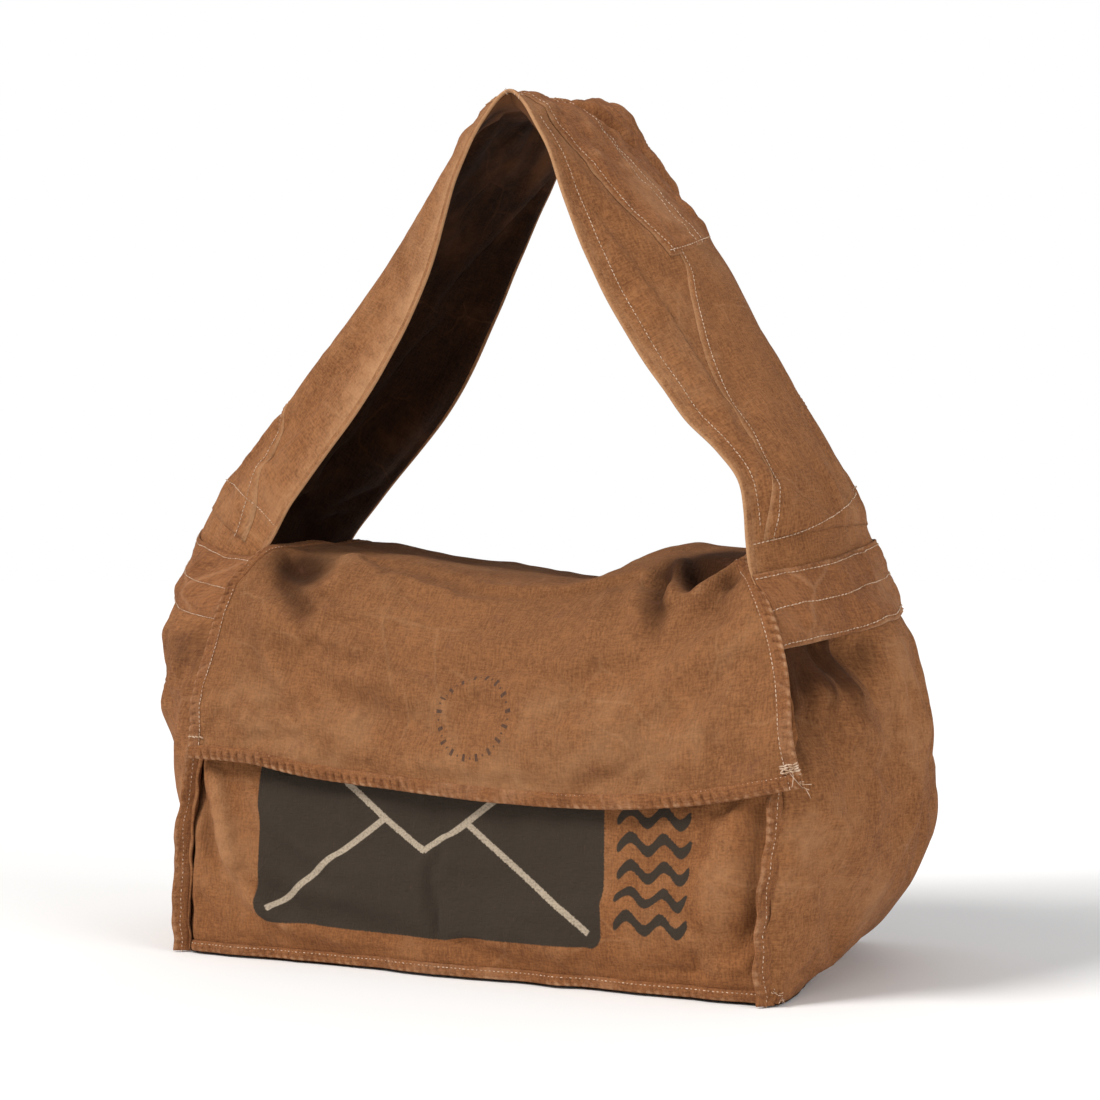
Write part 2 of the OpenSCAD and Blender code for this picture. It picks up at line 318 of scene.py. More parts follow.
# ------------------------------------------------------------------ meshes
def make_mesh(name, points, faces, material, flat=None, wear_and_shade=None, inside=None, normals=None):
    """One mesh piece, smooth, with its flat place, its wear and painted shade, and its side as attributes
    for the materials.
    """
    mesh = bpy.data.meshes.new(name)
    points = np.array(points, float).reshape(-1, 3)
    points[:, 2] = np.maximum(points[:, 2], 0.0)
    faces = np.asarray(faces, int)
    mesh.vertices.add(len(points))
    mesh.vertices.foreach_set("co", points.astype(np.float32).ravel())
    mesh.loops.add(faces.size)
    mesh.loops.foreach_set("vertex_index", faces.astype(np.int32).ravel())
    mesh.polygons.add(len(faces))
    size = faces.shape[1]
    mesh.polygons.foreach_set("loop_start", np.arange(0, faces.size, size, dtype=np.int32))
    mesh.polygons.foreach_set("use_smooth", np.ones(len(faces), bool))
    mesh.update(calc_edges=True)
    mesh.validate()
    count = len(points)
    flat = np.zeros((count, 2)) if flat is None else flat.reshape(-1, 2)
    place = mesh.attributes.new("flat", "FLOAT_VECTOR", "POINT")
    place.data.foreach_set("vector", np.column_stack([flat, np.zeros(count)]).astype(np.float32).ravel())
    for key, value in (("wear_and_shade", wear_and_shade), ("inside", inside)):
        value = np.zeros(count) if value is None else np.asarray(value, float).ravel()
        mesh.attributes.new(key, "FLOAT", "POINT").data.foreach_set("value", value.astype(np.float32))
    if normals is not None:
        mesh.normals_split_custom_set_from_vertices(normals.reshape(-1, 3).tolist())
    mesh.materials.append(material)
    return placed(name, mesh)


def shell(name, cloth, material, thickness=LAYER, own_normals=False):
    """A closed thin sheet on the cloth's grid: its outer face, its inner face and the rim between."""
    n, m = cloth.p.shape[:2]
    normals = cloth.normals()
    half = normals * np.broadcast_to(thickness, (n, m))[..., None] / 2
    outer, inner = cloth.p + half, cloth.p - half
    ids = np.arange(n * m).reshape(n, m)
    quads = grid_quads(n, m)
    rim = np.concatenate([ids[0, :-1], ids[:-1, -1], ids[-1, :0:-1], ids[:0:-1, 0]])
    after = np.roll(rim, -1)
    wall = np.stack([rim, rim + n * m, after + n * m, after], -1)
    if cloth.sign > 0:
        quads, wall = quads[:, ::-1], wall[:, ::-1]
    faces = np.concatenate([quads, quads[:, ::-1] + n * m, wall])
    both = [cloth.flat.reshape(-1, 2)] * 2
    inside = np.repeat([0.0, 1.0], n * m)
    return make_mesh(
        name, np.concatenate([outer.reshape(-1, 3), inner.reshape(-1, 3)]), faces, material,
        np.concatenate(both), np.tile(cloth.wear_and_shade.ravel(), 2), inside,
        np.concatenate([normals.reshape(-1, 3), -normals.reshape(-1, 3)]) if own_normals else None)


def swept(name, rings, material, flat, wear_and_shade):
    """A closed tube through rings of points, with both ends capped by a small fan of quads."""
    n, m = rings.shape[:2]
    ids = np.arange(n * m).reshape(n, m)
    caps = []
    for ring, turned in ((ids[0], True), (ids[-1], False)):
        for k in range(m // 2 - 1):
            quad = [ring[k], ring[k + 1], ring[m - 2 - k], ring[m - 1 - k]]
            caps.append(quad[::-1] if turned else quad)
    faces = np.concatenate([tube_quads(n, m), np.array(caps)])
    return make_mesh(name, rings, faces, material, flat, wear_and_shade)


def hem_rings(edge, inwards, normal, width, thickness, seed, pucker=0.46, proud=0.0):
    """Rings round a hem or a turned-out seam. edge is the line that it starts from, inwards the way
    it runs across and normal the way it faces. It puckers between its stitches and its outer edge."""
    length = lengths(edge)
    around = np.linspace(0, 2 * np.pi, 16, endpoint=False)
    across = 0.5 - 0.5 * np.cos(around) * (1 - 0.12 * np.cos(around) ** 2) / 0.88
    height = np.sign(np.sin(around)) * np.abs(np.sin(around)) ** 0.7 / 2
    phase = np.pi * length / PUCKER + 0.8 * noise(length, 0, 0.023, seed)
    wave = 2 * np.abs(np.sin(phase[:, None] + 1.3 * across[None, :])) - 1.25
    wave = wave + 0.25 * noise(length, 5, 0.005, seed + 2)[:, None]
    loose = (1 - smooth(across, 0.45, 0.85)) * (0.35 + 0.65 * smooth(across, 0, 0.25))
    uneven = np.clip(1 + 0.8 * noise(length, 3, 0.03, seed + 1), 0.25, 2)[:, None]
    relief = pucker * wave * loose[None, :] * uneven
    reach = across[None, :] * width - 0.0005 * relief
    lift = proud + height[None, :] * thickness * (1 + relief)
    rings = edge[:, None] + inwards[:, None] * reach[..., None] + normal[:, None] * lift[..., None]
    crest = peak(across, 0.16, 0.10)[None, :]
    patchy = 0.55 + 0.45 * noise(length, 8, 0.017, seed + 4)[:, None]
    wear_and_shade = crest * patchy * (0.80 + 0.5 * relief) * 0.60
    # the pucker valleys are painted darker as shade, and the crests paler, as rubbed wear and painted
    # highlight
    wear_and_shade = (wear_and_shade + 1.1 * np.clip(relief, -0.5, 0.14)) * (height > -0.2)
    flat = np.stack(np.broadcast_arrays(reach, length[:, None]), -1)
    return rings, flat, wear_and_shade


def hem(name, cloth, line, inner_line, seed, width=0.0095, thickness=0.0034):
    """A hem along a cloth's edge. line and inner_line give the shares of the edge and a line inside."""
    edge, normal = cloth.at(*line)
    inner, _ = cloth.at(*inner_line)
    inwards = unit(inner - edge)
    start = edge - inwards * 0.0009
    rings, flat, wear_and_shade = hem_rings(start, inwards, normal, width, thickness, seed, proud=0.0002)
    return swept(name, rings, MATERIALS["hem"], flat, wear_and_shade)


def stitches(name, lines, seed, radius=0.00036, share=0.78, slant=0.10):
    """Rows of short rounded stitches. Each line is (points on the cloth, normals there)."""
    sides = 6
    turn = np.linspace(0, 2 * np.pi, sides, endpoint=False)
    stations = np.array([(-0.5, 0.25), (-0.4, 0.8), (0.0, 1.0), (0.4, 0.8), (0.5, 0.25)])
    rng = np.random.default_rng(seed)
    all_points, all_faces, count = [], [], 0
    last = (len(stations) - 1) * sides
    caps = [[5, 4, 1, 0], [4, 3, 2, 1],
            [last, last + 1, last + 4, last + 5], [last + 1, last + 2, last + 3, last + 4]]
    template = np.concatenate([tube_quads(len(stations), sides), caps])
    for points, normals in lines:
        length = lengths(points)
        even = steps(0, length[-1], STITCH)
        centres = np.stack([np.interp(even, length, points[:, k]) for k in range(3)], -1)
        up = unit(np.stack([np.interp(even, length, normals[:, k]) for k in range(3)], -1))
        forward = unit(np.gradient(centres, axis=0))
        side = unit(np.cross(up, forward))
        n = len(centres)
        forward = unit(forward + side * (slant * rng.normal(0.3, 1, (n, 1))))
        side = unit(np.cross(up, forward))
        long = STITCH * share * rng.uniform(0.85, 1.1, n)
        x = stations[:, 0][None, :, None] * long[:, None, None]
        r = stations[:, 1][None, :, None] * radius
        sink = -1.6 * radius * (2 * stations[:, 0][None, :, None]) ** 4
        ring = (centres[:, None, None] + forward[:, None, None] * x[..., None]
                + side[:, None, None] * (r * np.cos(turn))[..., None]
                + up[:, None, None] * (r * np.sin(turn) * 0.8 + sink + 0.2 * radius)[..., None])
        all_points.append(ring.reshape(-1, 3))
        starts = count + np.arange(n) * len(stations) * sides
        all_faces.append((starts[:, None, None] + template[None]).reshape(-1, 4))
        count += n * len(stations) * sides
    return make_mesh(name, np.concatenate(all_points), np.concatenate(all_faces), MATERIALS["thread"])


def fray(name, roots, seed, length, per_root=5, radius=0.0002):
    """Loose threads: thin bent tubes. Each root is (point, the way that its threads point)."""
    rng = np.random.default_rng(seed)
    sides, joints = 4, 6
    turn = np.linspace(0, 2 * np.pi, sides, endpoint=False)
    last = (joints - 1) * sides
    caps = [[3, 2, 1, 0], [last, last + 1, last + 2, last + 3]]
    template = np.concatenate([tube_quads(joints, sides), caps])
    all_points, all_faces, count = [], [], 0
    for point, way in roots:
        for _ in range(per_root):
            heading = unit(np.asarray(way, float) + rng.normal(0, 0.5, 3))
            bend = rng.normal(0, 0.7, 3)
            s = np.linspace(0, 1, joints)[:, None]
            reach = length * rng.uniform(0.5, 1.3)
            centre = (np.asarray(point, float) + rng.normal(0, 0.0012, 3)
                      + heading * s * reach + bend * s * s * reach * 0.5)
            forward = unit(np.gradient(centre, axis=0))
            side = unit(np.cross(forward, [0.3, 0.2, 0.9]))
            up = np.cross(side, forward)
            ring = centre[:, None] + radius * (side[:, None] * np.cos(turn)[None, :, None]
                                               + up[:, None] * np.sin(turn)[None, :, None])
            ring[..., 2] = np.maximum(ring[..., 2], radius)
            all_points.append(ring.reshape(-1, 3))
            all_faces.append(template + count)
            count += joints * sides
    return make_mesh(name, np.concatenate(all_points), np.concatenate(all_faces), MATERIALS["thread"])


# ------------------------------------------------------------------ materials
def colour(code):
    """A hex colour as linear red, green, blue and alpha."""
    parts = [int(code[i:i + 2], 16) / 255 for i in (1, 3, 5)]
    return [c / 12.92 if c <= 0.04045 else ((c + 0.055) / 1.055) ** 2.4 for c in parts] + [1.0]


class Paint:
    """A material under construction. Its methods add a node and return that node's output."""

    def __init__(self, name):
        self.material = bpy.data.materials.new(name)
        self.material.use_nodes = True
        self.nodes = self.material.node_tree.nodes
        self.links = self.material.node_tree.links
        self.shader = self.nodes["Principled BSDF"]
        self.place = self.attribute("flat", "Vector")

    def put(self, socket, value):
        """Links a node's output to a socket, or sets the socket to a number or colour."""
        if isinstance(value, bpy.types.NodeSocket):
            self.links.new(value, socket)
        else:
            socket.default_value = value

    def node(self, kind, values, **settings):
        """Adds a node, sets it up and gives its sockets the values that stand under their names."""
        node = self.nodes.new("ShaderNode" + kind)
        for key, value in settings.items():
            setattr(node, key, value)
        for key, value in values.items():
            self.put(node.inputs[key], value)
        return node

    def attribute(self, name, output="Fac"):
        return self.node("Attribute", {}, attribute_name=name).outputs[output]

    def math(self, operation, *values):
        return self.node("Math", dict(enumerate(values)), operation=operation).outputs[0]

    def ramp(self, value, low, high, out_low=0.0, out_high=1.0):
        """A soft step of value from low to high."""
        values = dict(enumerate((value, low, high, out_low, out_high)))
        return self.node("MapRange", values, interpolation_type="SMOOTHSTEP").outputs[0]

    def mix(self, share, a, b):
        """Colour a, with its share of colour b."""
        return self.node("Mix", {0: share, 6: a, 7: b}, data_type="RGBA").outputs[2]

    def stretched(self, scale, offset):
        """The flat place, scaled and shifted."""
        values = {"Location": offset, "Scale": (*scale, 1), "Vector": self.place}
        return self.node("Mapping", values).outputs[0]

    def noise(self, size, seed=0.0, detail=3.0, roughness=0.55):
        """Noise from 0 to 1 on the flat cloth, its lumps size wide, or size[0] by size[1]."""
        wide, long = size if isinstance(size, tuple) else (size, size)
        place = self.stretched((1 / wide, 1 / long), (seed, 1.7 * seed, 0))
        return self.node("TexNoise", {"Scale": 1.0, "Detail": detail, "Roughness": roughness,
                                      "Vector": place}, noise_dimensions="2D").outputs["Fac"]

    def creases(self, size, seed, width):
        """1 along a net of thin wandering lines about size apart, of which only some stretches show."""
        place = self.stretched((1.6 / size, 1.6 / size), (seed, seed, 0))
        bend = self.node("TexNoise", {"Scale": 1.0, "Detail": 2.0, "Vector": place},
                         noise_dimensions="2D").outputs["Color"]
        away = self.node("VectorMath", {0: bend, "Scale": 0.28}, operation="SCALE").outputs[0]
        place = self.stretched((1 / size, 1 / size), (2.3 * seed, seed, 0))
        warped = self.node("VectorMath", {0: place, 1: away}).outputs[0]
        cells = self.node("TexVoronoi", {"Scale": 1.0, "Vector": warped}, voronoi_dimensions="2D",
                          feature="DISTANCE_TO_EDGE")
        line = self.ramp(cells.outputs["Distance"], 0.0, width, 1.0, 0.0)
        return self.times(line, self.ramp(self.noise(0.9 * size, seed + 5.0), 0.50, 0.68))

    def split(self):
        """The flat place's two coordinates."""
        return self.node("SeparateXYZ", {0: self.place}).outputs[:2]

    def chain(self, operation, values):
        """Joins some values by one operation, from the first to the last."""
        result = values[0]
        for value in values[1:]:
            result = self.math(operation, result, value)
        return result

    def times(self, *values):
        return self.chain("MULTIPLY", values)

    def highest(self, *values):
        return self.chain("MAXIMUM", values)

    def add(self, *terms):
        """The sum of some terms, each a value or a pair (value, factor)."""
        return self.chain("ADD", [self.times(*t) if isinstance(t, tuple) else t for t in terms])

    def absolute(self, value):
        return self.math("ABSOLUTE", value)

    def distance(self, x, y):
        """How far a point x, y is from the origin."""
        return self.math("SQRT", self.add((x, x), (y, y)))

    def bump(self, height, strength, distance):
        """Makes the surface rise and fall with a height."""
        node = self.node("Bump", {"Strength": strength, "Distance": distance, "Height": height})
        self.put(self.shader.inputs["Normal"], node.outputs[0])


def weave(paint):
    """The height of a plain weave, with slubs, from the cloth's flat place."""
    x, y = paint.split()
    turns = 2 * math.pi / THREAD_PITCH
    drift_x = paint.times(paint.noise((0.012, 0.05), 3.1), 2.5)
    drift_y = paint.times(paint.noise((0.05, 0.012), 5.3), 2.5)
    warp = paint.math("SINE", paint.add((x, turns), drift_x))
    weft = paint.math("SINE", paint.add((y, turns), drift_y))
    return paint.times(warp, weft, 0.5)


# The colour of the painted shade in hollows and in fold and pucker valleys
PAINTED_SHADE_BROWN = colour("#2b1407")
BARE = colour("#402b1e")


def cloth_material(name, base, light, dark, seed, prints=None, inner=0.55):
    """Faded, worn canvas: woven, mottled, streaked along its threads, paler where it is rubbed and painted
    darker as shade where wear_and_shade is below 0.
    """
    paint = Paint(name)
    base, light, dark = colour(base), colour(light), colour(dark)
    wear_and_shade = paint.attribute("wear_and_shade")
    inside = paint.attribute("inside")
    clouds = paint.noise(0.075, seed, 5.0, 0.65)
    blotches = paint.noise(0.018, seed + 4.0, 5.0, 0.7)
    warp_streaks = paint.noise((0.0014, 0.0075), seed + 9.0, 2.0, 0.6)
    weft_streaks = paint.noise((0.0075, 0.0014), seed + 13.0, 2.0, 0.6)
    long_streaks = paint.noise((0.0035, 0.11), seed + 15.0, 2.0)
    specks = paint.noise(0.0016, seed + 17.0, 2.0)
    woven = weave(paint)
    tone = paint.add(
        (paint.ramp(clouds, 0.3, 0.7), 0.20),
        (paint.ramp(blotches, 0.3, 0.7), 0.20),
        (paint.ramp(warp_streaks, 0.30, 0.70), 0.40),
        (paint.ramp(weft_streaks, 0.30, 0.70), 0.32),
        (paint.ramp(specks, 0.32, 0.68), 0.32),
        (paint.ramp(long_streaks, 0.35, 0.65), 0.08),
        (woven, 0.22), -0.20)
    shade = paint.mix(tone, dark, base)
    rubbed = paint.ramp(paint.add((wear_and_shade, 0.95), (blotches, 0.40), (specks, 0.20), -0.32), 0.08, 0.80)
    faded = paint.ramp(paint.noise(0.11, seed + 21.0, 4.0, 0.65), 0.50, 0.74, 0.0, 0.30)
    shade = paint.mix(faded, shade, light)
    shade = paint.mix(rubbed, shade, light)
    lines = paint.highest(paint.creases(0.110, seed + 2.0, 0.020), paint.creases(0.050, seed + 6.0, 0.034))
    shade = paint.mix(paint.times(lines, 0.17), shade, light)
    grime = paint.ramp(paint.noise(0.045, seed + 29.0, 6.0, 0.72), 0.62, 0.78, 0.0, 0.34)
    shade = paint.mix(grime, shade, dark)
    # Painted shade: darker where wear_and_shade is below 0, mostly in hollows and in fold and pucker
    # valleys
    deep_shade = paint.ramp(paint.times(wear_and_shade, -1.0), 0.02, 1.0, 0.0, 0.86)
    outside = paint.add(1.0, (inside, -1.0))
    shade = paint.mix(paint.times(deep_shade, outside), shade, PAINTED_SHADE_BROWN)
    if prints is not None:
        shade = prints(paint, shade, outside, warp_streaks, specks)
    shade = paint.mix(paint.times(inside, inner), shade, BARE)
    paint.put(paint.shader.inputs["Base Color"], shade)
    paint.put(paint.shader.inputs["Roughness"], paint.add(0.82, (specks, 0.10), (rubbed, 0.05)))
    paint.shader.inputs["Specular IOR Level"].default_value = 0.08
    paint.shader.inputs["Sheen Weight"].default_value = 0.02
    paint.shader.inputs["Sheen Roughness"].default_value = 0.5
    paint.bump(paint.add(
        (woven, 0.00020), (warp_streaks, 0.00075), (weft_streaks, 0.00060), (specks, 0.00040),
        (lines, 0.00030), (paint.noise(0.008, seed + 33.0, 4.0, 0.6), 0.0009),
        (paint.noise(0.030, seed + 37.0, 3.0, 0.55), 0.0020)), 0.9, 1.0)
    return paint.material


def thread_material(name, pale, brown):
    """Cotton thread, mottled from pale to brown."""
    paint = Paint(name)
    place = paint.node("TexCoord", {}).outputs["Object"]
    mottle = paint.node("TexNoise", {"Scale": 220.0, "Vector": place}).outputs["Fac"]
    share = paint.ramp(mottle, 0.35, 0.65)
    paint.put(paint.shader.inputs["Base Color"], paint.mix(share, colour(brown), colour(pale)))
    paint.shader.inputs["Roughness"].default_value = 0.85
    paint.bump(mottle, 0.4, 0.0002)
    return paint.material


INK = colour("#39332c")
CREAM = colour("#b9a893")
STAMP = (0.019, 0.2936)     # the middle of the stamp on the flap, across and down from its rear fold
STAMP_RADIUS = 0.0275
STAMP_BARS = 17


def slanted(paint, x, y, start, end, half=0.0019):
    """1 within half of the straight line from start to end, with soft borders."""
    (ax, ay), (bx, by) = start, end
    length = math.hypot(bx - ax, by - ay)
    ux, uy = (bx - ax) / length, (by - ay) / length
    along = paint.add((x, ux), (y, uy), -(ax * ux + ay * uy))
    off = paint.absolute(paint.add((x, uy), (y, -ux), -(ax * uy - ay * ux)))
    past = paint.absolute(paint.add(along, -length / 2))
    return paint.times(paint.ramp(off, half, half + 0.0008, 1.0, 0.0),
                       paint.ramp(past, length / 2, length / 2 + 0.001, 1.0, 0.0))


def rounded_box(paint, x, y, low, high, corner):
    """1 inside a box with rounded corners."""
    over = []
    for place, a, b in ((x, low[0], high[0]), (y, low[1], high[1])):
        off = paint.absolute(paint.add(place, -(a + b) / 2))
        over.append(paint.highest(paint.add(off, corner - (b - a) / 2), 0.0))
    return paint.ramp(paint.distance(*over), corner - 0.0004, corner + 0.0006, 1.0, 0.0)


def envelope_print(paint, shade, front, streaks, specks):
    """A dark envelope with pale folds, and the wavy bars of a postmark beside it."""
    x, y = paint.split()
    edge = paint.times(paint.add(specks, -0.5), 0.0012)
    x, y = paint.add(x, edge), paint.add(y, edge)
    body = rounded_box(paint, x, y, (-0.160, 0.030), (0.118, 0.190), 0.010)
    folds = paint.highest(
        slanted(paint, x, y, (-0.150, 0.040), (-0.052, 0.112)),
        slanted(paint, x, y, (0.108, 0.040), (0.010, 0.112)),
        slanted(paint, x, y, (-0.150, 0.180), (-0.021, 0.088)),
        slanted(paint, x, y, (0.108, 0.180), (-0.021, 0.088)))
    wave = paint.times(paint.math("SINE", paint.times(x, 2 * math.pi / 0.024)), 0.0042)
    lifted = paint.add(y, wave)
    bars = paint.highest(*[rounded_box(paint, x, lifted, (0.128, z), (0.182, z + 0.0075), 0.003)
                           for z in (0.046, 0.064, 0.082, 0.100, 0.118, 0.136)])
    thin = paint.ramp(paint.add(streaks, (specks, 0.5)), 0.30, 0.62, 0.80, 0.97)
    ink = paint.times(paint.highest(body, bars), thin, front)
    pale = paint.times(folds, paint.ramp(specks, 0.3, 0.6, 0.65, 0.95), front)
    return paint.mix(pale, paint.mix(ink, shade, INK), CREAM)


def ring_print(paint, shade, front, streaks, specks):
    """A small round hand stamp: a ring of short bars and dots, worn thin, and a few marks."""
    x, y = paint.split()
    dx, dy = paint.add(x, -STAMP[0]), paint.add(y, -STAMP[1])
    angle = paint.math("ARCTAN2", dy, dx)
    turn = paint.math("FRACT", paint.add((angle, STAMP_BARS / (2 * math.pi)), 10.0))
    share = paint.absolute(paint.add(turn, -0.5))
    off = paint.absolute(paint.add(paint.distance(dx, dy), -STAMP_RADIUS))
    bars = paint.times(paint.ramp(share, 0.09, 0.13, 1.0, 0.0), paint.ramp(off, 0.0022, 0.0027, 1.0, 0.0))
    dots = paint.times(paint.ramp(share, 0.43, 0.46), paint.ramp(off, 0.0006, 0.0009, 1.0, 0.0))
    worn = paint.ramp(paint.add(streaks, specks), 0.7, 1.15, 0.60, 0.92)
    ink = paint.times(paint.highest(bars, dots), worn, front)
    stain = paint.ramp(paint.noise(0.03, 41.0, 4.0, 0.65), 0.64, 0.76, 0.0, 0.30)
    shade = paint.mix(paint.times(stain, front), shade, colour("#6d4538"))
    return paint.mix(ink, shade, colour("#4a3a33"))


MATERIALS = {
    "canvas": cloth_material("canvas", "#9b6841", "#bb8d66", "#6f452a", 0.0),
    "front": cloth_material("front_canvas", "#97633c", "#b5865f", "#6f452a", 3.0, envelope_print),
    "flap": cloth_material("flap_canvas", "#976641", "#b48962", "#70482d", 7.0, ring_print),
    "hem": cloth_material("hem_canvas", "#96633e", "#c29672", "#6d442b", 11.0),
    "dark": cloth_material("dark_canvas", "#3a2315", "#71492d", "#22140c", 15.0, inner=0.2),
    "pad": cloth_material("pad_canvas", "#98643e", "#b98c66", "#6b4128", 19.0),
    "thread": thread_material("thread", "#d3b89f", "#a98668"),
}


# ------------------------------------------------------------------ the shapes of the cloth
# Each seam: (height, how far outside the bag's half-width, how far inside its depth)
FRONT_SEAMS = {
    -1: [(0, -0.009, 0), (0.04, -0.013, 0), (0.08, -0.014, 0.0005), (0.115, -0.017, 0.0015),
         (0.15, -0.0205, 0.0045), (0.18, -0.0245, 0.0100), (0.21, -0.032, 0.0165), (0.24, -0.039, 0.0245),
         (0.30, -0.050, 0.0355)],
    1: [(0, 0, 0), (0.05, -0.002, 0), (0.10, 0.004, 0.0005), (0.14, 0.009, 0.0025),
        (0.20, 0.005, 0.0115), (0.24, -0.006, 0.0225), (0.30, -0.034, 0.0345)],
}
BACK_SEAM_LINE = [(0, -0.044, 0.0075), (0.03, -0.028, 0.001), (0.08, -0.010, 0), (0.15, 0.000, 0.0045),
                  (0.20, 0, 0.0145), (0.25, -0.012, 0.0265), (0.30, -0.033, 0.0335)]
# Each side wall: (height, how far it swells out)
SWELL = {
    -1: [(0, 0), (0.01, 0.007), (0.02, 0.014), (0.05, 0.027), (0.10, 0.045), (0.15, 0.062), (0.18, 0.075),
         (0.20, 0.079), (0.225, 0.093), (0.245, 0.102), (0.27, 0.103), (0.30, 0.078)],
    1: [(0, 0), (0.01, 0.012), (0.02, 0.022), (0.05, 0.041), (0.08, 0.052), (0.12, 0.055),
        (0.16, 0.052), (0.20, 0.047), (0.23, 0.049), (0.25, 0.050), (0.27, 0.042), (0.30, 0.028)],
}


def seam_point(side, face, z):
    """A point of the seam at a side (-1 left, 1 right) of the front (-1) or the back (1) panel."""
    out, deep = np.moveaxis(curve(z, FRONT_SEAMS[side] if face < 0 else BACK_SEAM_LINE), -1, 0)
    y = FRONT_Y + deep if face < 0 else BACK_Y - deep
    return np.stack(np.broadcast_arrays(side * (HALF_W + out), y, z), -1)


def edged(low, high, spacing, margin, fine):
    """Even numbers from low to high that stand closer together within margin of both ends."""
    return np.concatenate([steps(low, low + margin, fine)[:-1],
                           steps(low + margin, high - margin, spacing),
                           steps(high - margin, high, fine)[1:]])


def face_cloth(face, top):
    """The front or back panel, which turns in to its seams and swells between them."""
    z = edged(SEAM_W, top, GRID, 0.012, 0.002)
    u = edged(-1, 1, GRID / HALF_W, 0.06, 0.0016 / HALF_W)
    u, z = np.meshgrid(u, z)
    rim = rear_edge(u) - 0.001 if face > 0 else mouth_edge(u)
    z = SEAM_W + (z - SEAM_W) * (rim - SEAM_W) / (top - SEAM_W)
    left, right = seam_point(-1, face, z), seam_point(1, face, z)
    p = left + (right - left) * ((u + 1) / 2)[..., None]
    x = p[..., 0]
    lean = curve(z, [(0, 0), (0.05, 0.004), (0.12, 0.005), (0.17, 0.001), (0.21, -0.010), (0.265, -0.034)])
    swell = lean * (1 - np.abs(u) ** 6)
    seed = 31 if face < 0 else 61
    swell += 0.0030 * noise(x, z, 0.07, seed) * bow(u, 8) + 0.0012 * noise(x, z, 0.026, seed + 1)
    swell += 0.0009 * noise(x, z, (0.012, 0.05), seed + 2)
    for side in (-1, 1):
        away = np.abs(side - u) * HALF_W
        ragged = 1 + 0.45 * noise(z, 0, 0.011, seed + 3 + side) + 0.3 * noise(z, 9, 0.03, seed + 5)
        swell -= 0.0060 * ragged * peak(away, 0.0055)
        p[..., 0] += -side * 0.0026 * noise(z, 5, 0.015, seed + 8 + side) * peak(away, 0.012)
    low = z - SEAM_W
    swell -= 0.0022 * peak(low, 0.004)
    swell += 0.0016 * noise(x, z, (0.02, 0.03), seed + 9) * peak(low, 0.02)
    folds = 1.3 * relief(x, z, FRONT_FOLDS) if face < 0 else 0 * x
    swell += folds
    p[..., 1] += face * swell
    cloth = Cloth(p, x * 1.0, z, (0, face, 0))
    # fold valleys are painted darker as shade, and fold crests paler, as rubbed wear and painted highlight
    cloth.worn(35 * np.clip(folds - 0.001, 0, 0.006) - 60 * np.clip(-folds - 0.001, 0, 0.006))
    proud = np.clip(swell, -0.004, 0.004) / 0.004
    return cloth.worn(0.18 * np.clip(proud, 0, 1) ** 2)


# The soft folds of the front panel, where the bag's load pulls it
LEFT = -HALF_W
FRONT_FOLDS = [
    (0.0062, (LEFT + 0.035, 0.150), (LEFT + 0.062, 0.050), 0.010),
    (-0.0052, (LEFT + 0.018, 0.150), (LEFT + 0.040, 0.060), 0.009),
    (0.0040, (LEFT + 0.060, 0.055), (LEFT + 0.125, 0.016), 0.007),
    (-0.0036, (LEFT + 0.070, 0.066), (LEFT + 0.150, 0.024), 0.008),
    (0.0030, (LEFT + 0.105, 0.038), (LEFT + 0.165, 0.012), 0.006),
    (-0.0060, (HALF_W - 0.010, 0.150), (HALF_W - 0.018, 0.030), 0.009),
    (0.0034, (HALF_W - 0.032, 0.140), (HALF_W - 0.040, 0.020), 0.010),
    (0.0022, (HALF_W - 0.075, 0.060), (HALF_W - 0.030, 0.012), 0.008),
    (-0.0024, (-0.020, 0.030), (0.060, 0.012), 0.008), (0.0020, (0.030, 0.045), (0.105, 0.016), 0.007)
]


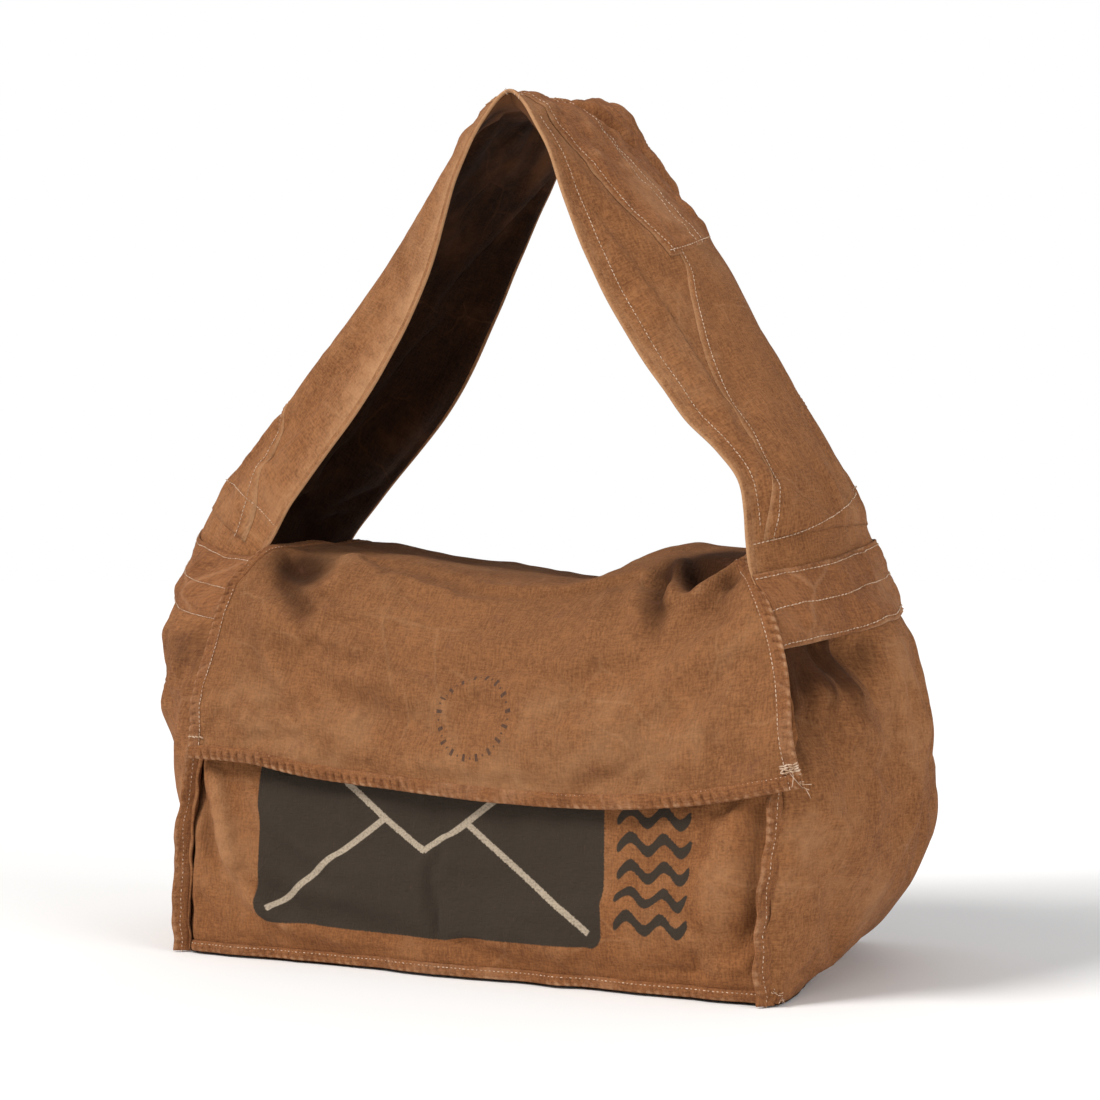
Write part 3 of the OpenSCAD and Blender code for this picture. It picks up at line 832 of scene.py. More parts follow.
def gusset_cloth(side):
    """A side wall: turned in to its seams, swollen between them and gathered under its band."""
    z = edged(0.0025, WALL_TOP, GRID, 0.012, 0.002)
    t = edged(-1, 1, GRID / GUSSET_HALF, 0.06, 0.0016 / GUSSET_HALF)
    t, z = np.meshgrid(t, z)
    z = z[0, 0] + (z - z[0, 0]) * (WALL_TOP - 0.016 + 0.013 * t) / WALL_TOP
    front, back = seam_point(side, -1, z), seam_point(side, 1, z)
    p = front + (back - front) * ((t + 1) / 2)[..., None]
    y = p[..., 1]
    out = curve(z, SWELL[side]) * bow(t, 2.6 - 0.9 * smooth(z, 0.23, 0.28), 0.30 if side < 0 else -0.10)
    seed = 81 if side > 0 else 101
    middle = 1 - np.abs(t) ** 6
    out += middle * 0.0045 * noise(y, z, (0.06, 0.09), seed) + 0.0014 * noise(y, z, 0.022, seed + 1)
    out += 0.0008 * noise(y, z, (0.010, 0.045), seed + 2)
    gathered = smooth(z, 0.170, 0.225) * (1 - smooth(z, 0.234, 0.252))
    flutes = noise(y, z * 0.2, 0.008, seed + 3) + 0.5 * noise(y, z * 0.2, 0.016, seed + 7)
    out += 0.0032 * gathered * flutes
    folds = gusset_folds(t, z) * (1.0 if side > 0 else 0.6 * (1 - smooth(z, 0.175, 0.215)))
    out += folds
    for end in (-1, 1):
        away = np.abs(end - t) * GUSSET_HALF
        ragged = 1 + 0.4 * noise(z, 0, 0.012, seed + 4 + end)
        out -= 0.0040 * ragged * peak(away, 0.005)
    p[..., 0] += side * out
    p[..., 2] += 0.008 * smooth(t, 0.2, 1) * (1 - smooth(z, 0, 0.05))
    cloth = Cloth(p, y, z, (side, 0, 0))
    cloth.worn(0.10 * bow(t, 2) * smooth(z, 0.05, 0.14) + 12 * np.clip(folds, 0, 1))
    # painted shade in the hollows under the front of the band
    hollow = relief(t, z, GUSSET_HOLLOW_SHADE) * (1 + 0.42 * noise(y, z * 0.15, 0.0060, seed + 11))
    return cloth.worn(-np.clip((1.0 if side > 0 else 0.35) * hollow, 0, 1))


# Where shade is painted dark on a side wall, in the hollows under the front of its band
GUSSET_HOLLOW_SHADE = [(1.35, (-0.78, 0.228), (0.40, 0.021)), (0.60, (-0.95, 0.190), (0.16, 0.036)),
                  (0.34, (-0.60, 0.190), (0.34, 0.030))]
# The hollow under the band and the long soft folds that run down from it
GUSSET_FOLDS = [
    (-0.0210, (-0.60, 0.231), (0.25, 0.019)), (0.0060, (-0.62, 0.240), (-0.58, 0.195), 0.045),
    (0.0045, (-0.80, 0.236), (-0.72, 0.195), 0.040), (-0.0060, (-0.46, 0.236), (-0.36, 0.190), 0.050),
    (-0.0100, (-0.90, 0.196), (0.10, 0.034)), (-0.0060, (-0.84, 0.200), (-0.66, 0.150), 0.07),
    (-0.0060, (-0.20, 0.190), (-0.42, 0.140), 0.10), (0.0055, (-0.66, 0.190), (-0.40, 0.165), 0.07),
    (0.0042, (0.02, 0.142), (-0.42, 0.040), 0.08), (-0.0032, (0.20, 0.140), (-0.26, 0.036), 0.09),
    (-0.0035, (-0.88, 0.120), (-0.50, 0.030), 0.08), (0.0055, (-0.22, 0.228), (0.10, 0.165), 0.09),
    (-0.0045, (0.06, 0.232), (0.26, 0.170), 0.07), (0.0032, (0.42, 0.22), (0.50, 0.07), 0.05),
    (-0.0030, (0.58, 0.22), (0.66, 0.07), 0.05)
]


def gusset_folds(t, z):
    """The hollow under the band and the long soft folds that run down from it."""
    out = relief(t, z, GUSSET_FOLDS, 6)
    return out * (1 - smooth(z, 0.244, 0.262))


# The flap from its rear fold over the mouth and down the front: (distance, y, height)
FLAP_MIDDLE = [(0, 0.104, 0.284), (0.054, 0.050, 0.281), (0.104, 0.000, 0.280), (0.144, -0.040, 0.278),
               (0.180, -0.076, 0.270), (0.210, -0.104, 0.255), (0.245, -0.125, 0.229),
               (0.280, -0.137, 0.197), (0.315, -0.144, 0.161), (0.350, -0.1465, 0.127)]
# Its left and right edges: (distance, x)
FLAP_LEFT = [(0, -0.190), (0.054, -0.190), (0.104, -0.186), (0.144, -0.185), (0.180, -0.193),
             (0.210, -0.207), (0.245, -0.216), (0.280, -0.218), (0.315, -0.217), (0.350, -0.217)]
FLAP_RIGHT = [(0, 0.190), (0.054, 0.190), (0.104, 0.187), (0.144, 0.187), (0.180, 0.196), (0.210, 0.214),
              (0.245, 0.233), (0.280, 0.246), (0.315, 0.254), (0.350, 0.262)]
# How much higher it lies than its middle line, across its top and along its hem: (share, rise)
FLAP_CROWN = [(-1, 0.028), (-0.85, 0.026), (-0.65, 0.021), (-0.27, 0.009), (0.1, 0.001), (0.28, -0.001),
              (0.45, 0.005), (0.62, 0.014), (0.75, 0.019), (1, 0.024)]
FLAP_HEM = [(-1, 0.021), (-0.77, 0.019), (-0.59, 0.012), (-0.245, 0.005), (0.086, 0), (0.53, 0.001),
            (0.71, 0.006), (1, 0.020)]
# How much more of that rise there is by its rear fold: (share, rise)
FLAP_REAR = [(-1, 0.002), (-0.8, 0.002), (-0.68, 0.001), (-0.54, 0), (-0.40, 0), (-0.26, 0.001),
             (-0.12, -0.0015), (0.02, -0.004), (0.16, -0.006), (0.24, -0.004), (0.30, 0), (0.36, 0.007),
             (0.45, 0.015), (0.55, 0.014), (0.7, 0.003), (0.85, -0.004), (1, -0.007)]
FLAP_LENGTH = 0.350
FLAP_JOIN = 0.110           # where its two stretches meet, measured from its rear fold


def mouth_edge(u):
    """The height of the mouth's front edge, which sags where the flap is pressed in."""
    return MOUTH_Z - 0.010 * peak(u, 0.17, 0.60) - 0.007 * peak(u, 0.14, -0.64)


def rear_edge(u):
    """The height of the flap's rear fold, at the share u across it from -1 to 1."""
    return FLAP_MIDDLE[0][2] + 0.2 * curve(u, FLAP_CROWN) + curve(u, FLAP_REAR)


def flap_cloth():
    """The whole flap, in rows from its rear fold to its hem."""
    w, u = np.meshgrid(steps(0, FLAP_LENGTH, GRID), steps(-1, 1, GRID / 0.22), indexing="ij")
    y, z = np.moveaxis(curve(w, FLAP_MIDDLE), -1, 0)
    left, right = curve(w, FLAP_LEFT), curve(w, FLAP_RIGHT)
    x = left + (right - left) * (u + 1) / 2
    turned = smooth(w, 0.12, 0.33)
    rise = curve(u, FLAP_CROWN) * (1 - turned) + curve(u, FLAP_HEM) * turned
    rise = rise * smooth(w, -0.02, 0.05) + curve(u, FLAP_REAR) * (1 - smooth(w, 0.03, 0.16))
    lag = 0.011 * np.abs(u) ** 3 * bow(np.clip((w - 0.235) / 0.075, -1, 1))
    lag -= 0.020 * np.clip(-u, 0, 1) ** 3 * peak(w, 0.042, 0.185)
    cloth = Cloth(np.stack([x, y + lag, z + rise], -1), x, w, (0, -0.3, 1))
    shape = 0.0035 * noise(x, w, 0.075, 131) + 0.0014 * noise(x, w, 0.030, 132)
    shape += 0.0006 * noise(x, w, 0.012, 133)
    folds = relief(x, w, FLAP_FOLDS)
    cloth.push(shape + folds)
    rim = np.abs(u) ** 10
    cloth.push(0.0016 * noise(w, u > 0, 0.025, 134) * rim)
    cloth.push(0.0018 * noise(x, 3, 0.035, 135) * smooth(w, 0.31, 0.35))
    cloth.worn(0.35 * np.clip(folds / 0.006, 0, 1) ** 2)
    # painted shade in the flap's hollows and in the valleys of its folds
    hollows = np.clip(relief(x, w, FLAP_HOLLOW_SHADE), 0, 1)
    return cloth.worn(-hollows - 40 * np.clip(-folds - 0.0008, 0, 0.006))


# Where shade is painted dark in the flap's deepest hollows, from 0 to 1
FLAP_HOLLOW_SHADE = [
    (1.40, (0.163, 0.138), (0.032, 0.034)), (0.55, (0.126, 0.130), (0.144, 0.235), 0.0090),
    (0.45, (0.190, 0.205), (0.010, 0.014)), (0.58, (-0.160, 0.172), (0.034, 0.030)),
    (0.26, (-0.176, 0.165), (-0.116, 0.255), 0.022), (0.30, (-0.168, 0.255), (0.034, 0.040))
]


# The folds where the flap breaks over the mouth, most of them by its two front corners
FLAP_FOLDS = [
    (-0.0270, (0.163, 0.170), (0.023, 0.027)), (0.0090, (0.134, 0.135), (0.151, 0.215), 0.0075),
    (-0.0120, (0.121, 0.145), (0.148, 0.255), 0.0080), (0.0100, (0.196, 0.165), (0.162, 0.222), 0.0085),
    (-0.0060, (0.176, 0.214), (0.205, 0.240), 0.0080), (-0.0050, (0.190, 0.200), (0.008, 0.011)),
    (0.0045, (0.094, 0.175), (0.102, 0.240), 0.010), (-0.0130, (-0.158, 0.184), (0.020, 0.020)),
    (0.0050, (-0.182, 0.178), (0.012, 0.024)), (0.0050, (-0.126, 0.150), (-0.118, 0.215), 0.012),
    (-0.0070, (-0.172, 0.200), (-0.122, 0.242), 0.011), (0.0045, (-0.190, 0.236), (-0.120, 0.250), 0.013),
    (0.0034, (-0.060, 0.250), (0.070, 0.230), 0.010), (-0.0034, (-0.070, 0.264), (0.070, 0.246), 0.014),
    (0.0026, (-0.130, 0.170), (0.050, 0.212), 0.010), (-0.0024, (-0.165, 0.300), (-0.120, 0.330), 0.012),
    (0.0034, (-0.170, 0.262), (-0.100, 0.318), 0.012), (-0.0030, (0.100, 0.250), (0.190, 0.300), 0.016),
    (0.0026, (0.020, 0.262), (0.110, 0.318), 0.014), (-0.0022, (-0.090, 0.280), (-0.020, 0.335), 0.014)
]


# The strap from its left end over the ridge to its right end, by distance along it.
# Its front and rear edges: (distance, x, y, height)
STRAP_FRONT = [(0, -0.2195, -0.098, 0.2555), (0.066, -0.196, -0.081, 0.296),
               (0.115, -0.171, -0.079, 0.334), (0.2085, -0.108, -0.078, 0.410),
               (0.3105, -0.056, -0.078, 0.498), (0.4055, -0.020, -0.087, 0.580),
               (0.450, 0.002, -0.092, 0.613), (0.4845, 0.023, -0.095, 0.6295),
               (0.510, 0.035, -0.096, 0.621), (0.5395, 0.048, -0.097, 0.600),
               (0.634, 0.084, -0.098, 0.510), (0.750, 0.144, -0.099, 0.414),
               (0.780, 0.163, -0.0995, 0.389), (0.805, 0.185, -0.100, 0.3685),
               (0.829, 0.200, -0.100, 0.349), (0.852, 0.2045, -0.100, 0.3276),
               (0.872, 0.206, -0.100, 0.308), (0.893, 0.2085, -0.100, 0.288), (0.944, 0.236, -0.100, 0.238)]
STRAP_REAR = [(0, -0.2345, 0.100, 0.277), (0.066, -0.226, 0.100, 0.312), (0.115, -0.196, 0.095, 0.343),
              (0.2085, -0.118, 0.078, 0.417), (0.3105, -0.071, 0.077, 0.500),
              (0.4055, -0.035, 0.088, 0.585), (0.450, -0.014, 0.093, 0.626),
              (0.4845, 0.018, 0.096, 0.652), (0.510, 0.034, 0.097, 0.644), (0.5395, 0.050, 0.097, 0.619),
              (0.634, 0.093, 0.098, 0.520), (0.750, 0.152, 0.100, 0.422), (0.827, 0.190, 0.100, 0.356),
              (0.878, 0.215, 0.100, 0.313), (0.944, 0.245, 0.100, 0.256)]
# How far its middle arches out, and how much the top of that arch lies to the front: (distance, arch, skew)
STRAP_ARCH = [(0, 0.077, 0.30), (0.066, 0.078, 0.30), (0.115, 0.074, 0.28), (0.2085, 0.074, 0.22),
              (0.3105, 0.059, 0.18), (0.4055, 0.036, 0.24), (0.450, 0.022, 0.34), (0.4845, -0.003, 0.2),
              (0.510, -0.002, 0), (0.5395, 0.006, 0), (0.634, 0.047, 0), (0.750, 0.044, 0),
              (0.827, 0.038, 0), (0.878, 0.039, 0), (0.910, 0.037, 0), (0.944, 0.032, 0)]
STRAP_LENGTH = 0.944
STRAP_RIDGE = 0.490


def strap_cloth():
    """The whole strap, in rows from its left end to its right end and columns from front to rear."""
    d, t = np.meshgrid(steps(0, STRAP_LENGTH, GRID), steps(-1, 1, GRID / STRAP_HALF), indexing="ij")
    front, rear = curve(d, STRAP_FRONT), curve(d, STRAP_REAR)
    p = front + (rear - front) * ((t + 1) / 2)[..., None]
    middle = (front + rear)[:, 0] / 2
    way = np.gradient(middle, d[:, 0], axis=0)
    out = unit(np.stack([-way[:, 2], way[:, 0] * 0, way[:, 0]], -1))
    level = 0.4 + 0.6 * smooth(middle[:, 2], 0.255, 0.345)[:, None]
    side = np.where(d[:, 0] < STRAP_RIDGE, -1.0, 1.0)[:, None] * np.array([1.0, 0, 0])
    out = unit(side * (1 - level) + out * level)
    arch, skew = np.moveaxis(curve(d, STRAP_ARCH), -1, 0)
    p = p + out[:, None] * (arch * bow(t, 2.1, skew))[..., None]
    flat_t = t * STRAP_HALF
    cloth = Cloth(p, flat_t, d, (0, 0, 1))
    cloth.push(strap_folds(d, t) + 0.0026 * noise(flat_t, d, (0.05, 0.09), 171)
               + 0.0011 * noise(flat_t, d, 0.028, 172))
    rim = np.abs(t) ** 12
    left_leg = smooth(d, 0.10, 0.24) * (1 - smooth(d, 0.40, STRAP_RIDGE))
    foot = 1 - smooth(d, 0.07, 0.20)
    blotch = 0.5 + 0.5 * noise(flat_t, d, (0.03, 0.05), 175)
    return cloth.worn(0.50 * rim + 0.22 * peak(d, 0.05, STRAP_RIDGE)
                      + 0.22 * left_leg - 0.30 * foot * blotch)


# The pinched folds by the strap's ridge and the ripples of its pad, on (place across, distance)
STRAP_FOLDS = [
    (-0.0060, (-0.020, 0.498), (0.050, 0.560), 0.0060), (0.0060, (-0.006, 0.494), (0.062, 0.556), 0.0060),
    (-0.0055, (0.020, 0.502), (0.088, 0.590), 0.0060), (0.0045, (0.040, 0.500), (0.100, 0.585), 0.0060),
    (-0.0060, (-0.020, 0.488), (0.020, 0.012)), (0.0050, (0.075, 0.500), (0.030, 0.016)),
    (0.0030, (-0.075, 0.500), (-0.060, 0.600), 0.0120), (-0.0028, (0.012, 0.560), (0.030, 0.620), 0.0080),
    (0.0030, (0.030, 0.585), (0.055, 0.640), 0.0055), (-0.0034, (0.044, 0.590), (0.062, 0.650), 0.0050),
    (-0.0055, (-0.050, 0.470), (0.050, 0.430), 0.0100), (0.0040, (-0.070, 0.440), (-0.020, 0.400), 0.0100),
    (0.0034, (0.098, 0.640), (0.100, 0.880), 0.0045), (-0.0030, (0.107, 0.660), (0.108, 0.870), 0.0040),
    (-0.0030, (-0.030, 0.660), (-0.094, 0.860), 0.0080)
]


def strap_folds(d, t):
    """The pinched folds by the strap's ridge, the ripples of its pad and the gathers at its ends."""
    x = t * STRAP_HALF
    out = relief(x, d, STRAP_FOLDS)
    for low, high in ((0.0, 0.13), (STRAP_LENGTH - 0.13, STRAP_LENGTH)):
        near_end = smooth(d, low - 0.06, low + 0.04) * (1 - smooth(d, high - 0.05, high + 0.03))
        out += 0.0011 * near_end * noise(x, d * 0.3, 0.009, 173)
    return out


# ------------------------------------------------------------------ building the pieces
WORN = "worn_edge_canvas"           # the name passed along for the hems, seams and bands


def added(nodes):
    """Hides the frame's nodes that a piece stands for."""
    if nodes:
        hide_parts(*nodes)


def bag_piece(piece, *nodes, slot="canvas"):
    """A piece that stays with the bag."""
    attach(piece, "bag")
    added(nodes)


def strap_piece(piece, *nodes, slot="canvas"):
    """A piece of the strap, with its place baked into its mesh."""
    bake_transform(piece)
    added(nodes)


def flap_piece(piece, *nodes, slot="canvas"):
    """A piece of the flap's top, with its place baked into its mesh."""
    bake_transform(piece)
    added(nodes)


def fall_piece(piece, *nodes, slot="canvas"):
    """A piece of the flap's fall, with its place baked into its mesh."""
    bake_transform(piece)
    added(nodes)


def bag_panels():
    """The panels and side walls, and the cloths that they were made from."""
    front, back = face_cloth(-1, MOUTH_Z), face_cloth(1, BACK_TOP)
    left, right = gusset_cloth(-1), gusset_cloth(1)
    for cloth in (front, back, left, right):
        still = edges_held(cloth, 4)
        if cloth is left or cloth is right:
            still[cloth.p[..., 2] > 0.225] = True
        settle(cloth, still, 0.028, 0.0040, weight=0.15)
    for name, cloth, paint in (("front_panel", front, "front"), ("back_panel", back, "canvas"),
                               ("left_gusset", left, "canvas"), ("right_gusset", right, "canvas")):
        bag_piece(shell(name + "_cloth", cloth, MATERIALS[paint]), name)
    return front, back, left, right


def bottom_panel(left, right):
    """The bottom, cut to the foot of the side walls and resting on the floor."""
    t = steps(0.03, 0.97, 0.02)
    u = steps(0, 1, 0.0125)
    foot_left, foot_right = left.at(0, t)[0], right.at(0, t)[0]
    p = foot_left[:, None] + (foot_right - foot_left)[:, None] * u[None, :, None]
    p[..., 2] = 0.0013 + 0.0006 * noise(p[..., 0], p[..., 1], 0.05, 5)
    p[..., 2] += 0.007 * smooth(t, 0.85, 1)[:, None] * (np.abs(u - 0.5) * 2) ** 8
    cloth = Cloth(p, p[..., 0], p[..., 1], (0, 0, -1))
    bag_piece(shell("bottom_panel_cloth", cloth, MATERIALS["dark"]), "bottom_panel", slot="dark_canvas")


SEAM_DIP = 0.0052           # how far a panel turns in before it meets its turned-out seam
SEAM_THICK = 0.0034         # the thickness of a seam's layers


def seam_line(panel, wall, side, face):
    """The line where a panel meets a side wall, from the floor up."""
    top = (MOUTH_Z if face < 0 else BACK_TOP - 0.012) - 0.002
    z = steps(0.0012, top, FINE)
    edges = [panel.p[:, 0 if side < 0 else -1], wall.p[:, 0 if face < 0 else -1]]
    x, y = [sum(np.interp(z, edge[:, 2], edge[:, k]) for edge in edges) / 2 for k in (0, 1)]
    line = np.stack([x, y, z], -1)
    seed = 200 + 10 * (side + 1) + face
    line[:, 0] += 0.0010 * noise(z, 0, 0.03, seed) * smooth(z, 0, 0.02)
    return z, line, seed


# The way that each turned-out seam stands: (names, side, face, across, deep)
SEAM_WAYS = [("left", "front", -1, -1, -0.80, -0.60), ("right", "front", 1, -1, -0.72, -0.69),
             ("left", "back", -1, 1, -0.75, 0.66), ("right", "back", 1, 1, 0.75, 0.66)]


def corner_seams(front_panel, back_panel, left_wall, right_wall):
    """The four turned-out seams at the bag's corners, and their rows of stitches."""
    rows = []
    for side_name, face_name, side, face, across, deep in SEAM_WAYS:
        panel = front_panel if face < 0 else back_panel
        wall = left_wall if side < 0 else right_wall
        z, root, seed = seam_line(panel, wall, side, face)
        sway = 0.20 * noise(z, 2, 0.035, seed + 5) + 0.13 * noise(z, 7, 0.014, seed + 6)
        way = unit(np.stack([across - deep * sway, deep + across * sway, 0.03 * sway], -1))
        width = SEAM_DIP + SEAM_W + 0.0002 + 0.0009 * noise(z, 1, 0.012, seed + 2)
        normal = unit(np.cross(way, unit(np.gradient(root, axis=0))))
        if (normal @ np.array([0, face, 0.0])).mean() < 0:
            normal = -normal
        outer = root + way * width[:, None]
        reach = SEAM_W + SEAM_DIP + 0.0008
        rings, flat, wear_and_shade = hem_rings(outer, -way, normal, reach, SEAM_THICK, seed, pucker=0.15)
        name = f"{face_name}_{side_name}_seam"
        bag_piece(swept(name + "_cloth", rings, MATERIALS["hem"], flat, wear_and_shade), name, slot=WORN)
        for facing in (1, -1):
            rows.append((root + way * (SEAM_DIP + 0.0016) + facing * normal * 0.0016, facing * normal))
    return rows


def bottom_seams(front, back):
    """The turned-down seams along the foot of the front and the back, and their stitches."""
    rows = []
    for cloth, face, name in ((front, -1, "front_bottom_seam"), (back, 1, "back_bottom_seam")):
        ends = 0.006 / (2 * HALF_W)
        b = steps(ends, 1 - ends, FINE / (2 * HALF_W))
        root, _ = cloth.at(0.0, b)
        past = steps(FINE, 0.010, FINE)[:, None] * np.array([1.0, 0, 0])
        root = np.concatenate([root[0] - past[::-1], root, root[-1] + 0.4 * past])
        seed = 240 + face
        swing = 0.0012 * noise(root[:, 0], 0, 0.04, seed) + 0.0006 * noise(root[:, 0], 4, 0.012, seed)
        way = np.tile([0.0, 0.18 * face, -1.0], (len(root), 1))
        way[:, 1] += 40 * face * swing
        way = unit(way)
        normal = unit(np.cross(way, np.gradient(root, axis=0)))
        if normal[:, 1].mean() * face < 0:
            normal = -normal
        root = root + [0, 0.0012 * face, 0.0012]
        outer = root + way * (SEAM_W - 0.0002) + [0, 0, 0.0006] * np.ones((len(root), 1))
        outer[:, 2] = np.maximum(outer[:, 2], 0.0015)
        rings, flat, wear_and_shade = hem_rings(outer, -way, normal, SEAM_W, SEAM_THICK, seed, pucker=0.24)
        rings[..., 2] = np.maximum(rings[..., 2], 0.0002)
        bag_piece(swept(name + "_cloth", rings, MATERIALS["hem"], flat, wear_and_shade), name, slot=WORN)
        rows.append((root + way * 0.0016 + normal * 0.0016, normal))
    return rows


def mouth_hem(front):
    """The hem along the front edge of the mouth, and its stitches."""
    b = steps(0.02, 0.98, FINE / (2 * HALF_W))
    piece = hem("front_mouth_hem_cloth", front, (1, b), (0.97, b), 251)
    bag_piece(piece, "front_mouth_hem", slot=WORN)
    points, normals = front.at(1 - 0.0078 / MOUTH_Z, b, ON_TOP)
    return [(points, normals)]


def shares(d, t):
    """Where the strap's distance and place across lie, as shares of its cloth."""
    return np.asarray(d) / STRAP_LENGTH, (np.asarray(t) + 1) / 2


def strap_layer(strap, d, t, lift):
    """A layer of cloth on the strap, over grids of its distance and its place across."""
    a, b = shares(d, t)
    a, b = np.broadcast_arrays(a, b)
    return strap.layer(a, b, lift)


def sewn_down(i, j, low, high, reach=0.05):
    """The lift of a sewn-down layer: low along its borders and high inside."""
    border = np.minimum(np.minimum(i, 1 - i), np.minimum(j, 1 - j))
    return low + (high - low) * smooth(border, 0, reach)


def strap_wall(strap, side, y, z):
    """How far out an end of the strap stands, at each y and height z."""
    rows = int(0.12 / GRID)
    end = strap.p[:rows] if side < 0 else strap.p[-rows:][::-1]
    levels = np.linspace(z.min(), z.max(), 240)
    columns = range(end.shape[1])
    deep = np.stack([np.interp(levels, end[:, k, 2], end[:, k, 1]) for k in columns], -1)
    wide = np.stack([np.interp(levels, end[:, k, 2], side * end[:, k, 0]) for k in columns], -1)
    level = np.round(np.interp(z, levels, np.arange(len(levels)))).astype(int)
    out = np.empty(y.shape)
    for index in np.ndindex(y.shape):
        line = deep[level[index]]
        past = max(line[0] - y[index], y[index] - line[-1], 0)
        out[index] = np.interp(y[index], line, wide[level[index]]) - 0.6 * past
    return out


# The lower border of each band: (share across the side wall, height)
BAND_LOW = {-1: [(-1, 0.243), (-0.6, 0.257), (-0.25, 0.273), (0.3, 0.279), (1, 0.272)],
            1: [(-1, 0.232), (-0.5, 0.243), (0, 0.252), (0.35, 0.257), (1, 0.260)]}
BAND_HEIGHT = {-1: 0.047, 1: 0.050}
BAND_ROWS = (0.06, 0.50, 0.93)      # where its rows of stitches run, as shares of its height


def bands(strap, walls):
    """The two bands that hold the strap's ends. Each lies over the top of its side wall and the end
    of the strap, from seam to seam, and puckers between its rows of stitches."""
    rows = []
    for side, side_name in ((-1, "left"), (1, "right")):
        seed = 261 if side > 0 else 271
        wall = walls[side]
        places = edged(-0.985, 0.985, 0.0022 / 0.12, 0.05, 0.0012 / 0.12)
        k, t = np.meshgrid(steps(0, 1, 0.035), places, indexing="ij")
        z = curve(t, BAND_LOW[side]) + k * BAND_HEIGHT[side] + 0.0008 * noise(t, k, (0.15, 2), seed + 5)
        front, back = seam_point(side, -1, z), seam_point(side, 1, z)
        y = front[..., 1] + (back[..., 1] - front[..., 1]) * (t + 1) / 2
        found = np.empty(z.shape)
        for column in range(z.shape[1]):
            line = wall.at(np.linspace(0, 1, 120), (t[0, column] + 1) / 2)[0]
            found[:, column] = np.interp(z[:, column], line[:, 2], side * line[:, 0])
            found[:, column] -= 1.1 * np.maximum(z[:, column] - line[-1, 2], 0)
        held = strap_wall(strap, side, y, z)
        out = (found + held + np.sqrt((found - held) ** 2 + 0.003 ** 2)) / 2
        cloth = Cloth(np.stack([side * out, y, z], -1), y, z, (side, 0, 0))
        tufts = noise(y, k * 0.012, 0.0075, seed) + 0.7 * noise(y, k * 0.02, 0.017, seed + 1)
        fine = noise(y, k * 0.05, 0.004, seed + 3)
        held_down = 1.0
        for line in BAND_ROWS:
            held_down = held_down * (1 - 0.75 * peak(k, 0.10, line))
        lift = 0.0029 + (0.0021 * tufts + 0.0006 * fine) * held_down
        lift += 0.0007 * noise(y, z, 0.012, seed + 2) - 0.0005 * (1 - held_down)
        rims = peak(k, 0.10, 1) + peak(k, 0.10)
        cloth.push(lift + 0.0022 * peak(t, 0.30, -1) - 0.0004 * peak(1 - np.abs(t), 0.035) - 0.0009 * rims)
        edge = peak(k, 0.05, 1) + peak(k, 0.05)
        # rubbed pale along its borders; between its stitches the puffs are paler and the dips between them
        # painted darker as shade
        cloth.worn(0.40 * edge * (0.7 + 0.5 * noise(y, k, 0.02, seed + 7)) + 0.14 * tufts * held_down)
        bag_piece(shell(f"{side_name}_band_cloth", cloth, MATERIALS["hem"], 0.0018),
                  f"{side_name}_band", slot=WORN)
        rows += [cloth.at(line, steps(0.01, 0.99, 0.006), ON_TOP) for line in BAND_ROWS]
    return rows


# The tapered facings: (distance from the strap's end, front border, rear border), both across the strap
FACING = {-1: [(0.052, -0.93, 0.93), (0.10, -0.85, 0.90), (0.135, -0.68, 0.88), (0.165, -0.55, 0.84),
               (0.22, -0.40, 0.78), (0.30, -0.28, 0.66), (0.40, -0.12, 0.52), (0.47, -0.02, 0.40)],
          1: [(0.050, -0.93, 0.93), (0.078, -0.88, 0.91), (0.12, -0.78, 0.90), (0.20, -0.62, 0.80),
              (0.27, -0.44, 0.70), (0.335, -0.30, 0.60), (0.37, -0.14, 0.52), (0.43, 0.0, 0.45)]}
FACING_SPAN = (0.068, 0.445)        # where a facing begins and ends, from the strap's end
# The pad's front border: (distance, place across the strap)
PAD_FRONT = [(0.455, -0.80), (0.49, -0.75), (0.56, -0.67), (0.60, -0.61), (0.66, -0.50)]


def facings(strap):
    """A second tapered layer down the outside of each leg, with stitches along both borders."""
    rows = []
    low, high = FACING_SPAN
    for side, side_name in ((-1, "left"), (1, "right")):
        i, j = np.meshgrid(steps(0, 1, 1 / len(steps(low, high, GRID))), steps(0, 1, 0.03), indexing="ij")
        distance = low + (high - low) * i
        border = curve(distance, FACING[side])
        t = border[..., 0] + (border[..., 1] - border[..., 0]) * j
        d = distance if side < 0 else STRAP_LENGTH - distance
        cloth = strap_layer(strap, d, t, sewn_down(i * 0 + 0.5, j, 0.0009, 0.0017, 0.07))
        cloth.worn(0.55 * peak(np.minimum(j, 1 - j), 0.02) + 0.10 * (side < 0))
        strap_piece(shell(f"{side_name}_facing_cloth", cloth, MATERIALS["canvas"], 0.0012),
                    f"{side_name}_strap_facing")
        rows += [cloth.at(steps(0.0, 1.0, 0.01), share, 0.0009) for share in (0.035, 0.965)]
    return rows


